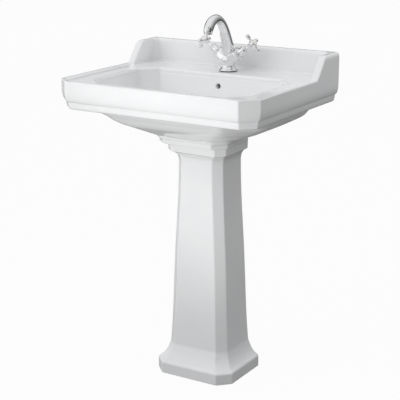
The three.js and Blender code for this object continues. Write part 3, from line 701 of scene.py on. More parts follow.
def upstand_field(x, depth, z):
    """Panel along the wall with a sloping wing at each side and a slanted facet between them."""
    inner_side = RIM_HALF - WING - np.abs(x)
    panel = smooth_max(depth - PANEL, z - UPSTAND_TOP, 12)
    slant = SLANT_RISE * (depth - SLANT_DEPTH) + SLANT_RUN * (z - RIM_TOP - 4)
    slant = slant / math.hypot(SLANT_RUN, SLANT_RISE)
    wing = smooth_max(smooth_max(inner_side, slant, 6), z - UPSTAND_TOP, 8)
    facet_size = FACET - 14 * (z - BAND_STEP - 20) / 88
    facet = (inner_side + depth - PANEL - facet_size) * math.sqrt(0.5)
    facet = smooth_max(facet, z - UPSTAND_TOP, 8)
    return smooth_min(smooth_min(panel, wing, 3), facet, 3)


def basin_field(x, y, z):
    depth = WALL - y
    lip_cut = smooth_max(LIP_INSIDE.distance(x, depth, z), DECK - z, 4)
    top = cut(z - RIM_TOP, lip_cut, 2.5)
    top = smooth_min(top, upstand_field(x, depth, z), 6)
    sides = smooth_max(RIM_SIDES.distance(x, depth, z), z - UPSTAND_TOP, 14)
    deep = smooth_max(smooth_max(top, sides, 4), BAND_STEP - z, 2)
    lower = smooth_max(LOWER_BAND.distance(x, depth, z), UNDERSIDE - z, 4)
    lower = np.maximum(lower, z - BAND_STEP - 6)
    bands = smooth_max(np.minimum(deep, lower), -depth, 3)
    under = smooth_max(UNDER_RIM.distance(x, depth, z), z - LEDGE_UNDER, 6)
    bands = cut(bands, under, 4)
    belly = smooth_max(BELLY.distance(x, depth, z), SEAT - z, 3)
    whole = smooth_min(bands, np.maximum(belly, z - LEDGE_UNDER - 5), 3)
    recess = smooth_max(TAP_RECESS.distance(x, depth, z), z - LEDGE_UNDER, 4)
    whole = cut(whole, recess, 3)
    rib = smooth_max(OVERFLOW_RIB.distance(x, depth, z), SEAT - z, 3)
    whole = smooth_min(whole, np.maximum(rib, z - LEDGE_UNDER - 1), 3)
    bowl = smooth_max(BOWL.distance(x, depth, z), BOWL_FLOOR - z, 3)
    whole = cut(whole, bowl, 6)
    duct = smooth_max(OVERFLOW_DUCT.distance(x, depth, z), z - DUCT_TOP, 2)
    whole = cut(whole, np.maximum(duct, DUCT_FLOOR - z), 1)
    overflow = np.hypot(x, z - OVERFLOW_Z) - OVERFLOW_R
    overflow = np.maximum(overflow, np.abs(depth - OVERFLOW_DEPTH) - 18)
    whole = cut(whole, overflow, 3)
    tap_hole = np.hypot(x, y - TAP.y) - TAP_HOLE_R
    whole = cut(whole, np.maximum(tap_hole, LEDGE_UNDER - 5 - z), 2)
    waste_hole = np.hypot(x, y - WASTE.y) - WASTE_HOLE_R
    whole = cut(whole, np.maximum(waste_hole, z - BOWL_FLOOR - 30), 2)
    bolt = middle("wall_bolt_right")
    bolt_hole = np.hypot(np.abs(x) - bolt.x, z - bolt.z) - BOLT_HOLE_R
    return cut(whole, np.maximum(bolt_hole, depth - BOLT_HOLE_END), 1)


def basin():
    low = (-RIM_HALF - MESH_MARGIN, WALL - RIM_FRONT - MESH_MARGIN, SEAT - MESH_MARGIN)
    high = (RIM_HALF + MESH_MARGIN, WALL + MESH_MARGIN, UPSTAND_TOP + MESH_MARGIN)
    cell = 2.5
    show("basin", field_mesh("basin", basin_field, low, high, cell, 150_000))


# ---------- pedestal ----------

SHAFT = Outline([
    (-5, 121, 286.5, 33, 97, 6),
    (29, 121, 286.5, 33, 97, 6),
    (33, 119.5, 285, 33, 97, 6),
    (38, 113, 278, 31, 99, 6),
    (50, 104, 268, 28, 102, 6),
    (66, 97, 260, 26, 105, 6),
    (85, 92.6, 254.5, 24, 108, 6),
    (330, 82, 248, 22.7, 115, 6),
    (606, 70, 243.5, 22, 119, 6),
    (618, 71.5, 245, 22, 119, 6),
    (628, 76, 250, 22, 119, 6),
    (635, 83, 257.5, 22, 119, 6),
    (638, 89.5, 264, 22.5, 119, 6),
    (639.5, 90.5, 265, 22.5, 119, 6),
    (670, 91.6, 266, 22.5, 119, 6),
], edge=1.8)
TOP_TIER = Outline([
    (660, 106, 292.5, 32, 140, 14),
    (PEDESTAL_TOP + 5, 107, 294, 32, 141, 14),
], edge=1.8, curved=False)
TOP_TIER_UNDER = 663.5
INSIDE = Outline([
    (-5, 107, 272.5, 28, 107, 5),
    (60, 88, 250, 22, 114, 5),
    (85, 82.6, 244.5, 19, 118, 5),
    (330, 72, 238, 17.7, 125, 5),
    (606, 60, 233.5, 17, 129, 5),
    (638, 71, 243, 17, 129, 5),
    (661, 72, 244, 17, 129, 5),
    (665, 76, 257, 27, 149, 5),
    (PEDESTAL_TOP + 5, 76, 257, 27, 151, 5),
], edge=3, curved=False)
BACK_SLOT = Outline([
    (-5, 83, 150, 2, 60, 2),
    (60, 74, 150, 2, 60, 2),
    (120, 73, 150, 2, 60, 2),
    (606, 52, 150, 2, 60, 2),
    (PEDESTAL_TOP + 5, 52, 150, 2, 60, 2),
], edge=2, curved=False)


PEDESTAL_HALF, PEDESTAL_FRONT, PEDESTAL_BACK = 121, 294, 97
LUG_TOP = 12
COUNTERSINK_R, SCREW_HOLE_R = 9, 4


def pedestal_field(x, y, z):
    depth = WALL - y
    shaft = smooth_max(SHAFT.distance(x, depth, z), -z, 2)
    tier_ends = slab(z, TOP_TIER_UNDER, PEDESTAL_TOP)
    tier = smooth_max(TOP_TIER.distance(x, depth, z), tier_ends, 2.4)
    shell = smooth_min(np.maximum(shaft, z - PEDESTAL_TOP + 6), tier, 2)
    shell = cut(shell, INSIDE.distance(x, depth, z), 3)
    shell = cut(shell, BACK_SLOT.distance(x, depth, z), 4)
    screw = middle("floor_screw_right")
    sideways, along = np.abs(x) - screw.x, y - screw.y
    lug = smooth_max(np.abs(sideways - 6.5) - 19.5, slab(along, -16, 20), 3)
    lug = smooth_max(lug, np.maximum(z - LUG_TOP, -z), 2)
    whole = smooth_min(shell, lug, 3)
    from_screw = np.hypot(sideways, along)
    countersink = np.maximum(from_screw - COUNTERSINK_R, slab(z, LUG_TOP, 30))
    whole = cut(whole, countersink, 1)
    return cut(whole, np.maximum(from_screw - SCREW_HOLE_R, z - 20), 0.6)


def pedestal():
    """The pedestal, with its underside pressed flat where a lug's rounding dips below the floor."""
    low = (-PEDESTAL_HALF - MESH_MARGIN, WALL - PEDESTAL_FRONT - MESH_MARGIN, -MESH_MARGIN)
    high = (PEDESTAL_HALF + MESH_MARGIN, WALL - PEDESTAL_BACK + MESH_MARGIN, PEDESTAL_TOP + MESH_MARGIN)
    cell = 2.5
    mesh = field_mesh("pedestal", pedestal_field, low, high, cell, 110_000)
    points = vertex_array(mesh)
    points[:, 2] = np.maximum(points[:, 2], 0)
    mesh.vertices.foreach_set("co", points.astype(np.float32).ravel())
    show("pedestal", mesh)


# ---------- tap ----------

ARM_TILT = math.radians(57)  # arm axis from the vertical
ARM_END = 41
HUB = 91  # crosshead's hub along the arm axis
SPOKE_REACH = 29
COLD_REST_TURN = math.radians(15)  # how the shut cold crosshead stands, against the hot one
FLAT = math.cos(math.pi / 8)  # flat to corner of an eight-sided shape
HEX_FLAT = math.cos(math.pi / 6)

FOOT = ([0, 1.5, 3.5, 5.5, 8.5, 12], [25.8, 26.1, 25.1, 22.4, 19.6, 17.8])
VASE = ([5, 7, 13, 20, 29, 31, 35, 37], [17.2, 17.4, 18.5, 20, 21.4, 21.2, 18.6, 17.6])
VASE_TOP = 35
COLUMN_R = 17.4
ARM = ([0, 10, 34.5, 37, 38.6, 42], [19.5, 18.5, 15.6, 16.9, 17.4, 17.4])

# Spout centre line: reach from the tap axis, height above the tap's base, radius.
SPOUT = [
    (0, 49.9, 17.4),
    (2.2, 58, 17.3),
    (6, 70.3, 16.7),
    (11, 84.8, 15.2),
    (17.4, 100.4, 14.1),
    (25.4, 116.1, 12.9),
    (36.4, 130.6, 12.1),
    (49.8, 141.1, 11.8),
    (64.1, 145.7, 12),
    (78.5, 144.3, 12.5),
    (91.6, 138.6, 13.1),
    (101, 129.4, 13.5),
    (106.4, 120, 13),
    (107.7, 112.5, 11.9),
]
SPOUT_SIDES = 56
SPOUT_WALL = 3
SOCKET_Z = 49.6  # where the spout stands on the tap body
CROSSHEAD_LOW, CROSSHEAD_HIGH = 76, 97
HUB_PROFILE = ([75, 76, 80, 85, 88, 94.5, 97, 99], [5.9, 6, 6.1, 9.6, 10.6, 10.6, 9.4, 9])
SPOKE_PROFILE = (
    [0, 8, *(SPOKE_REACH - back for back in (13, 11, 7.5, 3.5, 0.8, 0))],
    [3.8, 3.5, 3.1, 4.6, 5.2, 5.2, 4, 2.2],
)


def arm_matrix(side):
    """Takes a shape built along +Z onto the hot (left) or cold (right) arm axis."""
    return Matrix.Translation(ARM_CENTRE) @ Matrix.Rotation(side * ARM_TILT, 4, "Y")


def tap_body_field(x, y, z):
    """The tap body about its own axis, with z from its base."""
    radial = np.hypot(x, y)
    radius, lean = rounded_curve(z, *FOOT)
    foot = smooth_max((radial - radius) / lean, slab(z, 0, 12), 0.8)
    radius, lean = rounded_curve(z, *VASE)
    gauge = eight_sided(x, y, 0.8)
    vase = np.maximum((gauge - FLAT * radius) / lean, slab(z, 5, VASE_TOP))
    column = np.maximum(radial - COLUMN_R, slab(z, 20, SOCKET_Z))
    whole = smooth_min(smooth_min(foot, vase, 3), column, 1)
    rise = z - (ARM_CENTRE.z - TAP.z)
    across = np.abs(x)
    along = across * math.sin(ARM_TILT) + rise * math.cos(ARM_TILT)
    beside = across * math.cos(ARM_TILT) - rise * math.sin(ARM_TILT)
    radius, lean = rounded_curve(along, *ARM)
    arm = (eight_sided(beside, y, 0.7) - FLAT * radius) / lean
    arm = smooth_max(arm, along - ARM_END, 0.8)
    whole = smooth_min(whole, np.maximum(arm, -along), 1.6)
    from_axis = np.hypot(beside, y)
    bores = np.maximum(from_axis - 8.7, 14.7 - along)
    bores = np.minimum(bores, np.maximum(from_axis - 5, 4 - along))
    bores = np.minimum(bores, np.maximum(radial - 10, 24 - z))
    reach, height, root = np.array(SPOUT[:5]).T
    from_root = np.hypot(x, y + np.interp(z, height, reach)) - np.interp(z, height, root)
    bores = np.minimum(bores, np.maximum(from_root - GAP, SOCKET_Z - z))
    tails = np.maximum(np.hypot(across - 7, y + 5) - 5.3, z - 13)
    stud = np.maximum(np.hypot(x, y - 9) - 4.2, z - 9)
    return cut(whole, np.minimum(bores, np.minimum(tails, stud)), 0.5)


def tap_body():
    cell = 0.6
    low, high = (-50, -28, -2), (50, 28, 66)
    show_field("tap_body", tap_body_field, low, high, cell, 110_000, Matrix.Translation(TAP))


def crosshead_field(x, y, z):
    """Crosshead about its spindle, with z along the arm axis."""
    radial = np.hypot(x, y)
    radius, lean = rounded_curve(z, *HUB_PROFILE)
    ends = slab(z, CROSSHEAD_LOW, CROSSHEAD_HIGH)
    hub = smooth_max((radial - radius) / lean, ends, 1)
    u, v = np.maximum(np.abs(x), np.abs(y)), np.minimum(np.abs(x), np.abs(y))
    beside = np.hypot(v, z - HUB)
    radius, lean = rounded_curve(u, *SPOKE_PROFILE)
    spoke = smooth_max((beside - radius) / lean, u - SPOKE_REACH, 1.2)
    whole = smooth_min(hub, spoke, 1.4)
    bore = np.minimum(np.maximum(radial - 4.3, z - 88.3), np.maximum(radial - 2.4, z - 100))
    return cut(whole, np.minimum(bore, np.maximum(radial - 7.9, 93 - z)), 0.5)


def crossheads():
    cell = 0.5
    mesh = field_mesh("crosshead", crosshead_field, (-31, -31, 74), (31, 31, 99), cell, 60_000)
    for supply, side in (("hot", -1), ("cold", 1)):
        turn = Matrix.Rotation(COLD_REST_TURN if side > 0 else 0, 4, "Z")
        node = f"{supply}_crosshead"
        show(node, moved_mesh(mesh, node, arm_matrix(side) @ turn))


def spout():
    """Swan neck with an open bore, seated on the tap body."""
    rows = smooth_path(SPOUT, 6)
    path = [(0, TAP.y - reach, TAP.z + height) for reach, height, _ in rows]
    outer, inner, lip = (
        sweep_rings(path, rows[:, 2] - inset, SPOUT_SIDES) for inset in (0, SPOUT_WALL, 0.5)
    )
    end = [Vector(p) for p in outer[-1]]
    outer[-1] = [p + Vector((0, 0, 0.8)) for p in end]
    rings = np.concatenate([outer, [end], [lip[-1]], inner[::-1]])
    show("spout", closed_mesh("spout", lofted(rings, closed=True)))


def valve(supply, side):
    """Bonnet, spindle, discs, handle screw and index cap on one arm axis."""
    place = arm_matrix(side)
    bonnet = [
        (4.4, 26), (8.4, 26), (8.4, 41.3), (12.5, 41.3), (12.5, 43), (10.8, 44.8), (10.2, 50),
        (10.2, 55.6), (11, 57), (11, 60), (9, 62), (6.6, 62.6), (6.2, 66), (4.4, 66),
    ]
    show_turned(f"{supply}_bonnet", bonnet, place, closed=True)
    spindle = [(0, 21.6), (7, 21.6), (7, 25.4), (4, 25.4), (4, 88), (0, 88)]
    show_turned(f"{supply}_spindle", spindle, place)
    for node, low in ((f"{supply}_fixed_disc", 15), (f"{supply}_turning_disc", 18.3)):
        disc = [(1.6, low), (8.2, low), (8.2, low + 3), (1.6, low + 3)]
        show_turned(node, disc, place, 0.3, closed=True)
    node = f"{supply}_handle_screw"
    show_field(node, handle_screw_field, (-5, -5, 88), (5, 5, 96), 0.25, 12_000, place)
    cap = [(0, 95.6), (7.6, 95.6), (7.6, 98), (6.9, 100.2), (4.8, 102), (2.4, 102.8), (0, 103)]
    show_turned(f"{supply}_index_cap", cap, place, 1.6)


def handle_screw_field(x, y, z):
    """Pan-headed screw with a driver slot."""
    radial = np.hypot(x, y)
    shank = np.maximum(radial - 2.1, 89 - z)
    head = smooth_max(radial - 4, slab(z, 93.3, 95.2), 0.5)
    screw = np.minimum(np.maximum(shank, z - 94), head)
    return cut(screw, np.maximum(np.abs(x) - 0.6, 94.3 - z), 0.2)


def aerator():
    """Outlet sleeve with a collar, and the perforated plate inside it."""
    low, high = span("aerator_housing")
    place = upright(middle("aerator_housing"))
    collar = low + 2.9
    housing = [
        (6.6, low), (10.6, low), (11.2, low + 1), (11.2, collar), (8.4, collar), (8.4, high),
        (5.4, high), (5.4, high - 1), (6.6, high - 1),
    ]
    show_turned("aerator_housing", housing, place, 0.4, closed=True)
    bottom, top = span("aerator_screen")
    pitch = 2.2
    row_pitch = pitch * math.sqrt(0.75)

    def screen(x, y, z):
        disc = smooth_max(np.hypot(x, y) - 6.3, slab(z, bottom, top), 0.4)
        row = np.round(y / row_pitch)
        shift = np.where(row % 2 == 0, 0, pitch / 2)
        dx = (x - shift) - pitch * np.round((x - shift) / pitch)
        holes = np.maximum(np.hypot(dx, y - row * row_pitch) - 0.7, np.hypot(x, y) - 5.4)
        return cut(disc, holes, 0.2)

    low, high = (-8, -8, bottom - 1), (8, 8, top + 1)
    show_field("aerator_screen", screen, low, high, 0.28, 30_000, place)


def ring(node, outer, inner, edge=0.6):
    """A flat washer or seal about the middle of its CAD node."""
    show_sleeve(node, inner, outer, upright(middle(node)), edge)


def threads(radius, low, high, pitch, depth):
    """Outline of a threaded stretch, as rings from low to high."""
    count = int((high - low) / pitch)
    found = []
    for k in range(count):
        z = low + k * pitch
        found += [(radius - depth, z), (radius, z + 0.5 * pitch)]
    return found + [(radius - depth, low + count * pitch)]


def stud_profile(low, high, radius, end_radius, bevel, pitch, depth):
    """Outline of a threaded rod with plain ends."""
    thread = threads(radius, low + bevel, high - bevel, pitch, depth)
    return [(0, low), (end_radius, low), *thread, (end_radius, high), (0, high)]


def fixings():
    ring("tap_gasket", 25, 18)
    profile = stud_profile(*span("fixing_stud"), 4, 3.4, 0.6, 1.25, 0.6)
    show_turned("fixing_stud", profile, upright(middle("fixing_stud")), 0.05)
    for node in ("fixing_gasket", "fixing_washer"):
        horseshoe(node)
    hex_nut("fixing_nut", 4.3)


def horseshoe(node):
    """Plate that straddles the tails, with a hole for the stud."""
    low, high = span(node)

    def field(x, y, z):
        plate = smooth_max(np.hypot(x, y) - 23, slab(z, low, high), 0.8)
        mouth = smooth_max(np.abs(x) - 12.9, y - 2.2, 3)
        holes = np.minimum(mouth, np.hypot(x, y - 9) - 4.4)
        return cut(plate, holes, 0.6)

    box = ((-25, -25, low - 1), (25, 25, high + 1))
    show_field(node, field, *box, 0.5, 20_000, Matrix.Translation((0, TAP.y, 0)))


def hex_nut(node, hole, axis="Z", sides=6):
    """A nut with chamfered corners that fills its CAD node's box, about +Z or along +Y."""
    low, high = span(node, 2 if axis == "Z" else 1)
    corner = (span(node, 0)[1] - span(node, 0)[0]) / 2
    flat = corner * math.cos(math.pi / sides)
    slope = (corner - flat) * 0.6
    profile = [
        (hole, low), (flat * 0.97, low), (corner, low + slope), (corner, high - slope),
        (flat * 0.97, high), (hole, high),
    ]
    place = upright(middle(node)) if axis == "Z" else lying(middle(node))
    show_turned(node, profile, place, 0.3, closed=True, sides=96, flats=sides, across=2 * flat)


# ---------- supplies ----------


def supplies(supply, side):
    """Copper tail from the tap, isolating valve and supply pipe from the floor."""
    centre = middle(f"{supply}_isolator_body")
    x, z = centre.x, centre.z
    depth = WALL - centre.y
    tail_depth = WALL - TAP.y + 5
    route = [
        (side * 7, tail_depth, TAP.z + 12),
        (side * 7, tail_depth, LEDGE_UNDER - 6),
        (side * 7, tail_depth, LEDGE_UNDER - 29),
        (side * 17, 86, 768),
        (side * 36, 104, 738),
        (x, 128, 706),
        (x, depth, 670),
        (x, depth, 600),
        (x, depth, 480),
        (x, depth, z + 14),
    ]
    path = smooth_path([(px, WALL - d, pz) for px, d, pz in route])
    tail = f"{supply}_tail"
    show(tail, closed_mesh(tail, lofted(sweep_rings(path, [5] * len(path), 32))))
    body = [
        (5.4, -20), (9.5, -20), (9.5, -10.4), (12, -9.6),
        (12, 9.6), (9.5, 10.4), (9.5, 20), (5.4, 20),
    ]
    milling = {"sides": 96, "flats": 6, "across": 24 * HEX_FLAT}
    place = Matrix.Translation((x, centre.y, z))
    show_turned(f"{supply}_isolator_body", body, place, 0.4, closed=True, **milling)
    isolator_screw(f"{supply}_isolator_screw")
    compression_nut(f"{supply}_tail_nut", 5.3, up=True)
    compression_nut(f"{supply}_supply_nut", 7.8, up=False)
    show_sleeve(f"{supply}_supply_pipe", 6.5, 7.5, upright(centre), 0.2)


def isolator_screw(node):
    """Slotted quarter-turn screw that faces the wall."""
    centre = middle(node)
    low, high = span(node, 1)

    def field(x, y, z):
        radial = np.hypot(x, z)
        screw = smooth_max(radial - 4.1, slab(y, low, high), 0.5)
        slot = np.maximum(np.abs(x) - 0.7, high - 1.5 - y)
        return cut(screw, slot, 0.2)

    box = ((-5, low - 1, -5), (5, high + 1, 5))
    show_field(node, field, *box, 0.3, 12_000, Matrix.Translation((centre.x, 0, centre.z)))


def compression_nut(node, hole, up):
    """Nut that wraps the valve's end and closes on the pipe."""
    low, high = span(node)
    length = high - low
    flat = 13 * HEX_FLAT
    profile = [
        (9.8, 0), (flat, 0), (13, 1), (13, length - 3.4), (flat * 0.92, length - 1.4),
        (hole + 2, length), (hole, length), (hole, 8), (9.8, 8),
    ]
    centre = middle(node)
    place = Matrix.Translation((centre.x, centre.y, low))
    if not up:
        place = Matrix.Translation((centre.x, centre.y, high)) @ Matrix.Rotation(math.pi, 4, "X")
    show_turned(node, profile, place, 0.4, closed=True, sides=96, flats=6, across=2 * flat)


# ---------- waste and trap ----------


AT_WASTE = upright(WASTE)
GUIDE_Z = 666  # bars that guide the plug's stem
OVERFLOW_SLOT_Z = 686


def waste_body():
    """Threaded tail with a rolled flange, overflow slots and a guide for the plug's stem."""
    low, high = span("waste_body")

    def field(x, y, z):
        radial = np.hypot(x, y)
        ridge = np.where(z < BOWL_FLOOR - 22, 0.35 * np.cos(z * math.pi), 0)
        tube = np.maximum(radial - 20.2 - ridge, np.maximum(low - z, z - high + 1))
        rim = np.maximum(high - 2.4 - z, z - high + 0.04 * (radial - 21))
        whole = np.minimum(tube, smooth_max(radial - 31.5, rim, 1))
        throat = radial - 17.5 - np.maximum(z - high + 6, 0) * 0.8
        bars = np.minimum(np.abs(x), np.abs(y)) - 2.5
        guide = smooth_max(np.minimum(bars, radial - 9), np.abs(z - GUIDE_Z) - 2.2, 0.6)
        guide = np.maximum(guide, radial - 18.5)
        whole = np.minimum(cut(whole, throat, 1.2), guide)
        slot = np.maximum(np.abs(x) - 6.5, np.abs(z - OVERFLOW_SLOT_Z) - 4.5)
        return cut(whole, np.minimum(radial - 4.6, slot), 0.5)

    box = ((-33, -33, low - 1), (33, 33, high + 1))
    show_field("waste_body", field, *box, 0.8, 90_000, AT_WASTE)


def waste():
    waste_body()
    ring("waste_top_seal", 30, 20.8)
    ring("waste_back_seal", 29, 20.8)
    hex_nut("waste_backnut", 20.8, sides=12)
    low, high = span("waste_plug")
    face = high - 7.3
    plug = [
        (0, low), (4.2, low), (4.2, face), (17, face), (20, face + 1.5), (20.4, face + 3),
        (19, face + 4.9), (16, face + 5.9), (12, face + 6.6), (6, face + 7.2), (0, high),
    ]
    show_turned("waste_plug", plug, AT_WASTE, 1.2, sides=96)
    low, high = span("waste_click_cartridge")
    cartridge = [
        (0, low), (7.5, low), (8.4, low + 2), (8.4, high - 8), (7.4, high - 7.4), (7.4, high - 6),
        (8.4, high - 5.4), (8.4, high), (4.6, high), (4.6, low + 8), (0, low + 8),
    ]
    show_turned("waste_click_cartridge", cartridge, AT_WASTE, 0.4)


def ribbed_ring(node, hole, mouth_radius, mouth_length, axis="Z"):
    """Hand nut of the trap: grip ribs outside, a wide mouth and a narrow end."""
    low, high = span(node, 2 if axis == "Z" else 1)
    wide = (span(node, 0)[1] - span(node, 0)[0]) / 2

    def field(x, y, z):
        radial, angle = np.hypot(x, y), np.arctan2(y, x)
        grip = wide - 0.9 + 0.8 * np.tanh(3 * np.cos(24 * angle))
        taper = np.minimum(z - low, high - z) * 0.9
        body = smooth_max(radial - grip, radial - wide + 2.5 - taper, 1)
        body = smooth_max(body, slab(z, low, high), 1)
        mouth = np.maximum(radial - mouth_radius, z - low - mouth_length)
        return cut(body, np.minimum(radial - hole, mouth), 0.6)

    out = wide + 2
    place = upright(middle(node)) if axis == "Z" else lying(middle(node))
    show_field(node, field, (-out, -out, low - 1), (out, out, high + 1), 0.8, 50_000, place)


BOTTLE_OUTSIDE = ([499, 570, 573, 578, 581, 594], [31, 31, 30.2, 25, 24.1, 24.1])
BOTTLE_INSIDE = ([499, 566, 570, 577, 580, 594], [28, 28, 27.4, 21.6, 21, 21])
CUP_OUTSIDE = ([450, 452, 455, 466, 517], [20, 24.5, 29, 34.3, 34.3])
CUP_INSIDE = ([457, 459, 468, 494, 497, 517], [22, 24, 28, 28, 31.4, 31.4])
CUP_FLOOR = 457
CUP_GRIP = 498  # where the grip ribs begin


def trap_body():
    """Bottle with a side branch towards the wall."""
    low, high = span("trap_body")

    def field(x, y, z):
        radial = np.hypot(x, y)
        outer, lean = rounded_curve(z, *BOTTLE_OUTSIDE)
        bottle = smooth_max((radial - outer) / lean, slab(z, low, high), 0.8)
        inner, lean = rounded_curve(z, *BOTTLE_INSIDE)
        inside = (radial - inner) / lean
        side = np.hypot(x, z - TRAP_OUTLET)
        branch = smooth_max(side - 21, slab(y, 0, 60), 0.6)
        whole = cut(smooth_min(bottle, branch, 4), inside, 0.6)
        return cut(whole, np.maximum(side - 18.3, 5 - y), 0.6)

    box = ((-33, -33, low - 1), (33, 62, high + 1))
    show_field("trap_body", field, *box, 0.9, 80_000, AT_WASTE)


def trap_cup():
    """Screw-on bottom of the bottle."""
    low, high = span("trap_cup")

    def field(x, y, z):
        radial, angle = np.hypot(x, y), np.arctan2(y, x)
        outer, lean = rounded_curve(z, *CUP_OUTSIDE)
        ribs = np.where(z > CUP_GRIP, 0.7 * np.tanh(3 * np.cos(20 * angle)) - 0.6, 0)
        body = smooth_max((radial - outer - ribs) / lean, slab(z, low, high), 1.2)
        inner, lean = rounded_curve(z, *CUP_INSIDE)
        return cut(body, np.maximum((radial - inner) / lean, CUP_FLOOR - z), 0.8)

    box = ((-36, -36, low - 1), (36, 36, high + 1))
    show_field("trap_cup", field, *box, 0.9, 80_000, AT_WASTE)


def trap():
    trap_body()
    low, high = span("trap_dip_tube")
    shoulder = [(15.5, high - 5), (20.6, high - 3), (20.6, high), (13.5, high)]
    tube = [(13.5, low), (15.5, low), *shoulder]
    show_turned("trap_dip_tube", tube, AT_WASTE, 0.6, closed=True)
    trap_cup()
    ring("trap_cup_seal", 31, 28.4)
    ring("trap_inlet_seal", 24, 20.8, 1)
    ribbed_ring("trap_inlet_nut", 20.9, 24.4, 17.5)
    ribbed_ring("trap_outlet_nut", 18.2, 21.4, 16, axis="Y")
    show_sleeve("waste_pipe", 15.8, 17.8, lying(middle("waste_pipe")), 0.3, axis=1)


# ---------- fixings to the building ----------


def building_fixings():
    for name in ("left", "right"):
        bolt = f"wall_bolt_{name}"
        place = lying(middle(bolt))
        profile = stud_profile(*span(bolt, 1), 5, 4.3, 1, 1.5, 0.8)
        show_turned(bolt, profile, place, 0.05)
        show_sleeve(f"wall_washer_{name}", 5.3, 15, place, 0.8, axis=1)
        hex_nut(f"wall_nut_{name}", 5.3, axis="Y")
        floor_screw(f"floor_screw_{name}")


def floor_screw(node):
    """Round-headed screw with a crossed recess."""

    def field(x, y, z):
        radial = np.hypot(x, y)
        shank = np.maximum(radial - 2.7 - 0.3 * np.cos(z * 3), slab(z, 0.5, 13))
        dome = np.sqrt(x * x + y * y + (z - 8.6) ** 2) - 8.4
        head = smooth_max(dome, np.maximum(radial - 7, 12.3 - z), 0.4)
        cross = np.minimum(np.abs(x), np.abs(y)) - 0.8
        recess = np.maximum(cross, np.maximum(radial - 3.6, 14.6 - z))
        return cut(np.minimum(shank, head), recess, 0.2)

    show_field(node, field, (-8, -8, 0), (8, 8, 18), 0.35, 20_000, upright(middle(node)))


# ---------- camera, light and floor, in metres ----------

VIEW_AZIMUTH = math.radians(31.4)
VIEW_ELEVATION = math.radians(15.5)
VIEW_DISTANCE = 3.188
VIEW_TARGET = Vector((0.015, -0.0125, 0.5107))
LENS = 106.7
FLOOR_RADIUS, FLOOR_Z = 8, -0.0005
BACKDROP_RADIUS = 12
CARD_AIM = Vector((0, 0, 0.9))


def direction(azimuth, elevation):
    """Unit vector from the object towards a compass angle from the front and a height angle."""
    flat = math.cos(elevation)
    return Vector((math.sin(azimuth) * flat, -math.cos(azimuth) * flat, math.sin(elevation)))


def add_camera():
    camera = bpy.data.objects.new("camera", bpy.data.cameras.new("camera"))
    bpy.context.scene.collection.objects.link(camera)
    away = direction(VIEW_AZIMUTH, VIEW_ELEVATION)
    camera.location = VIEW_TARGET + away * VIEW_DISTANCE
    camera.rotation_euler = (-away).to_track_quat("-Z", "Y").to_euler()
    camera.data.lens = LENS
    camera.data.clip_start = 0.05
    camera.data.clip_end = 100
    bpy.context.scene.camera = camera


def glowing(name, strength):
    """Material that only gives off light of one strength."""
    material = bpy.data.materials.new(name)
    material.use_nodes = True
    nodes = material.node_tree.nodes
    nodes.clear()
    glow = nodes.new("ShaderNodeEmission")
    glow.inputs["Strength"].default_value = strength
    out = nodes.new("ShaderNodeOutputMaterial")
    material.node_tree.links.new(glow.outputs["Emission"], out.inputs["Surface"])
    return material


def stage_object(name, mesh, material, hidden_from):
    """Puts studio furniture in the scene, unseen by the given kinds of ray."""
    obj = bpy.data.objects.new(name, mesh)
    bpy.context.scene.collection.objects.link(obj)
    mesh.materials.append(material)
    for kind in hidden_from:
        setattr(obj, f"visible_{kind}", False)
    return obj


def add_floor():
    """Pale studio floor, bright enough to keep only a faint shadow."""
    material = bpy.data.materials.new("pale_floor")
    material.use_nodes = True
    principled = material.node_tree.nodes["Principled BSDF"]
    principled.inputs["Base Color"].default_value = (0.03, 0.03, 0.03, 1)
    principled.inputs["Roughness"].default_value = 1
    principled.inputs["Specular IOR Level"].default_value = 0
    principled.inputs["Emission Color"].default_value = (1, 1, 1, 1)
    principled.inputs["Emission Strength"].default_value = 0.95
    sides = 96
    turns = [2 * math.pi * k / sides for k in range(sides)]
    mesh = bpy.data.meshes.new("floor")
    rim = [(FLOOR_RADIUS * math.cos(a), FLOOR_RADIUS * math.sin(a), FLOOR_Z) for a in turns]
    mesh.from_pydata(rim, [], [list(range(sides))])
    stage_object("floor", mesh, material, ("diffuse", "glossy"))


def add_backdrop():
    """White shell behind everything, which only the camera sees."""
    build = bmesh.new()
    bmesh.ops.create_icosphere(build, subdivisions=4, radius=BACKDROP_RADIUS)
    mesh = bpy.data.meshes.new("backdrop")
    build.to_mesh(mesh)
    build.free()
    hidden_from = ("diffuse", "glossy", "transmission", "shadow", "volume_scatter")
    stage_object("backdrop", mesh, glowing("backdrop_white", 0.97), hidden_from)


def add_card(name, place, size, strength):
    """Board beside the object that shows only in its reflections."""
    mesh = bpy.data.meshes.new(name)
    w, h = size[0] / 2, size[1] / 2
    mesh.from_pydata([(-w, -h, 0), (w, -h, 0), (w, h, 0), (-w, h, 0)], [], [(0, 1, 2, 3)])
    card = stage_object(name, mesh, glowing(name, strength), ("camera", "diffuse", "shadow"))
    card.location = place
    card.rotation_euler = (CARD_AIM - Vector(place)).to_track_quat("Z", "Y").to_euler()


def add_light(name, place, aim, size, power, spread=180):
    """Area light that reflections and the camera do not show."""
    light = bpy.data.lights.new(name, "AREA")
    light.shape = "RECTANGLE"
    light.size, light.size_y = size
    light.energy = power
    light.spread = math.radians(spread)
    obj = bpy.data.objects.new(name, light)
    bpy.context.scene.collection.objects.link(obj)
    obj.location = place
    obj.rotation_euler = (Vector(aim) - Vector(place)).to_track_quat("-Z", "Y").to_euler()
    obj.visible_glossy = False
    obj.visible_camera = False


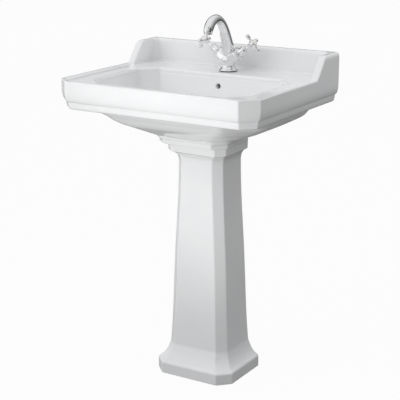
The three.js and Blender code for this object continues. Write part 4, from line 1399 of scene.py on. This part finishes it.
def add_sky():
    """Soft surroundings: bright above and to the left, dim below and to the right."""
    world = bpy.data.worlds.new("studio")
    bpy.context.scene.world = world
    world.use_nodes = True
    nodes, links = world.node_tree.nodes, world.node_tree.links
    place = nodes.new("ShaderNodeTexCoord").outputs["Generated"]
    facing = nodes.new("ShaderNodeVectorMath")
    facing.operation = "DOT_PRODUCT"
    facing.inputs[1].default_value = Vector((-0.35, -0.2, 0.85)).normalized()
    links.new(place, facing.inputs[0])
    ramp = nodes.new("ShaderNodeMapRange")
    ramp.interpolation_type = "SMOOTHSTEP"
    ramp.inputs["From Min"].default_value = -0.95
    ramp.inputs["From Max"].default_value = 0.9
    ramp.inputs["To Min"].default_value = 0.0
    ramp.inputs["To Max"].default_value = 0.88
    links.new(facing.outputs["Value"], ramp.inputs["Value"])
    links.new(ramp.outputs["Result"], nodes["Background"].inputs["Strength"])
    nodes["Background"].inputs["Color"].default_value = (0.985, 0.99, 1, 1)


def studio():
    add_camera()
    add_floor()
    add_backdrop()
    add_sky()
    add_light("key", (-1.6, -1.9, 1.9), (0, 0, 0.85), (1.6, 1.6), 8.3)
    add_light("top", (-0.3, -0.9, 1.9), (0, 0, 0.9), (0.9, 0.9), 0.6, spread=70)
    add_light("fill_right", (1.7, 0.8, 1.2), (0.3, 0, 0.85), (0.8, 0.8), 1.7, spread=90)
    add_light("bounce", (0.0, -0.95, 0.1), (0.1, -0.05, 0.75), (0.8, 0.5), 1.7, spread=70)
    add_card("white_left", (-1.7, -2.3, 1.2), (1.4, 2.2), 1.1)
    add_card("black_right", (2.2, -0.6, 1.2), (0.9, 1.4), 0.0)
    add_card("black_left_back", (-1.35, 1.3, 1.65), (2.8, 0.8), 0.0)
    add_card("black_front", (1.1, -1.55, 2.15), (0.35, 0.8), 0.0)
    bpy.context.scene.view_settings.view_transform = "Standard"


# ---------- the whole ----------

studio()
basin()
pedestal()
tap_body()
spout()
crossheads()
aerator()
fixings()
for supply, side in (("hot", -1), ("cold", 1)):
    valve(supply, side)
    supplies(supply, side)
waste()
trap()
building_fixings()
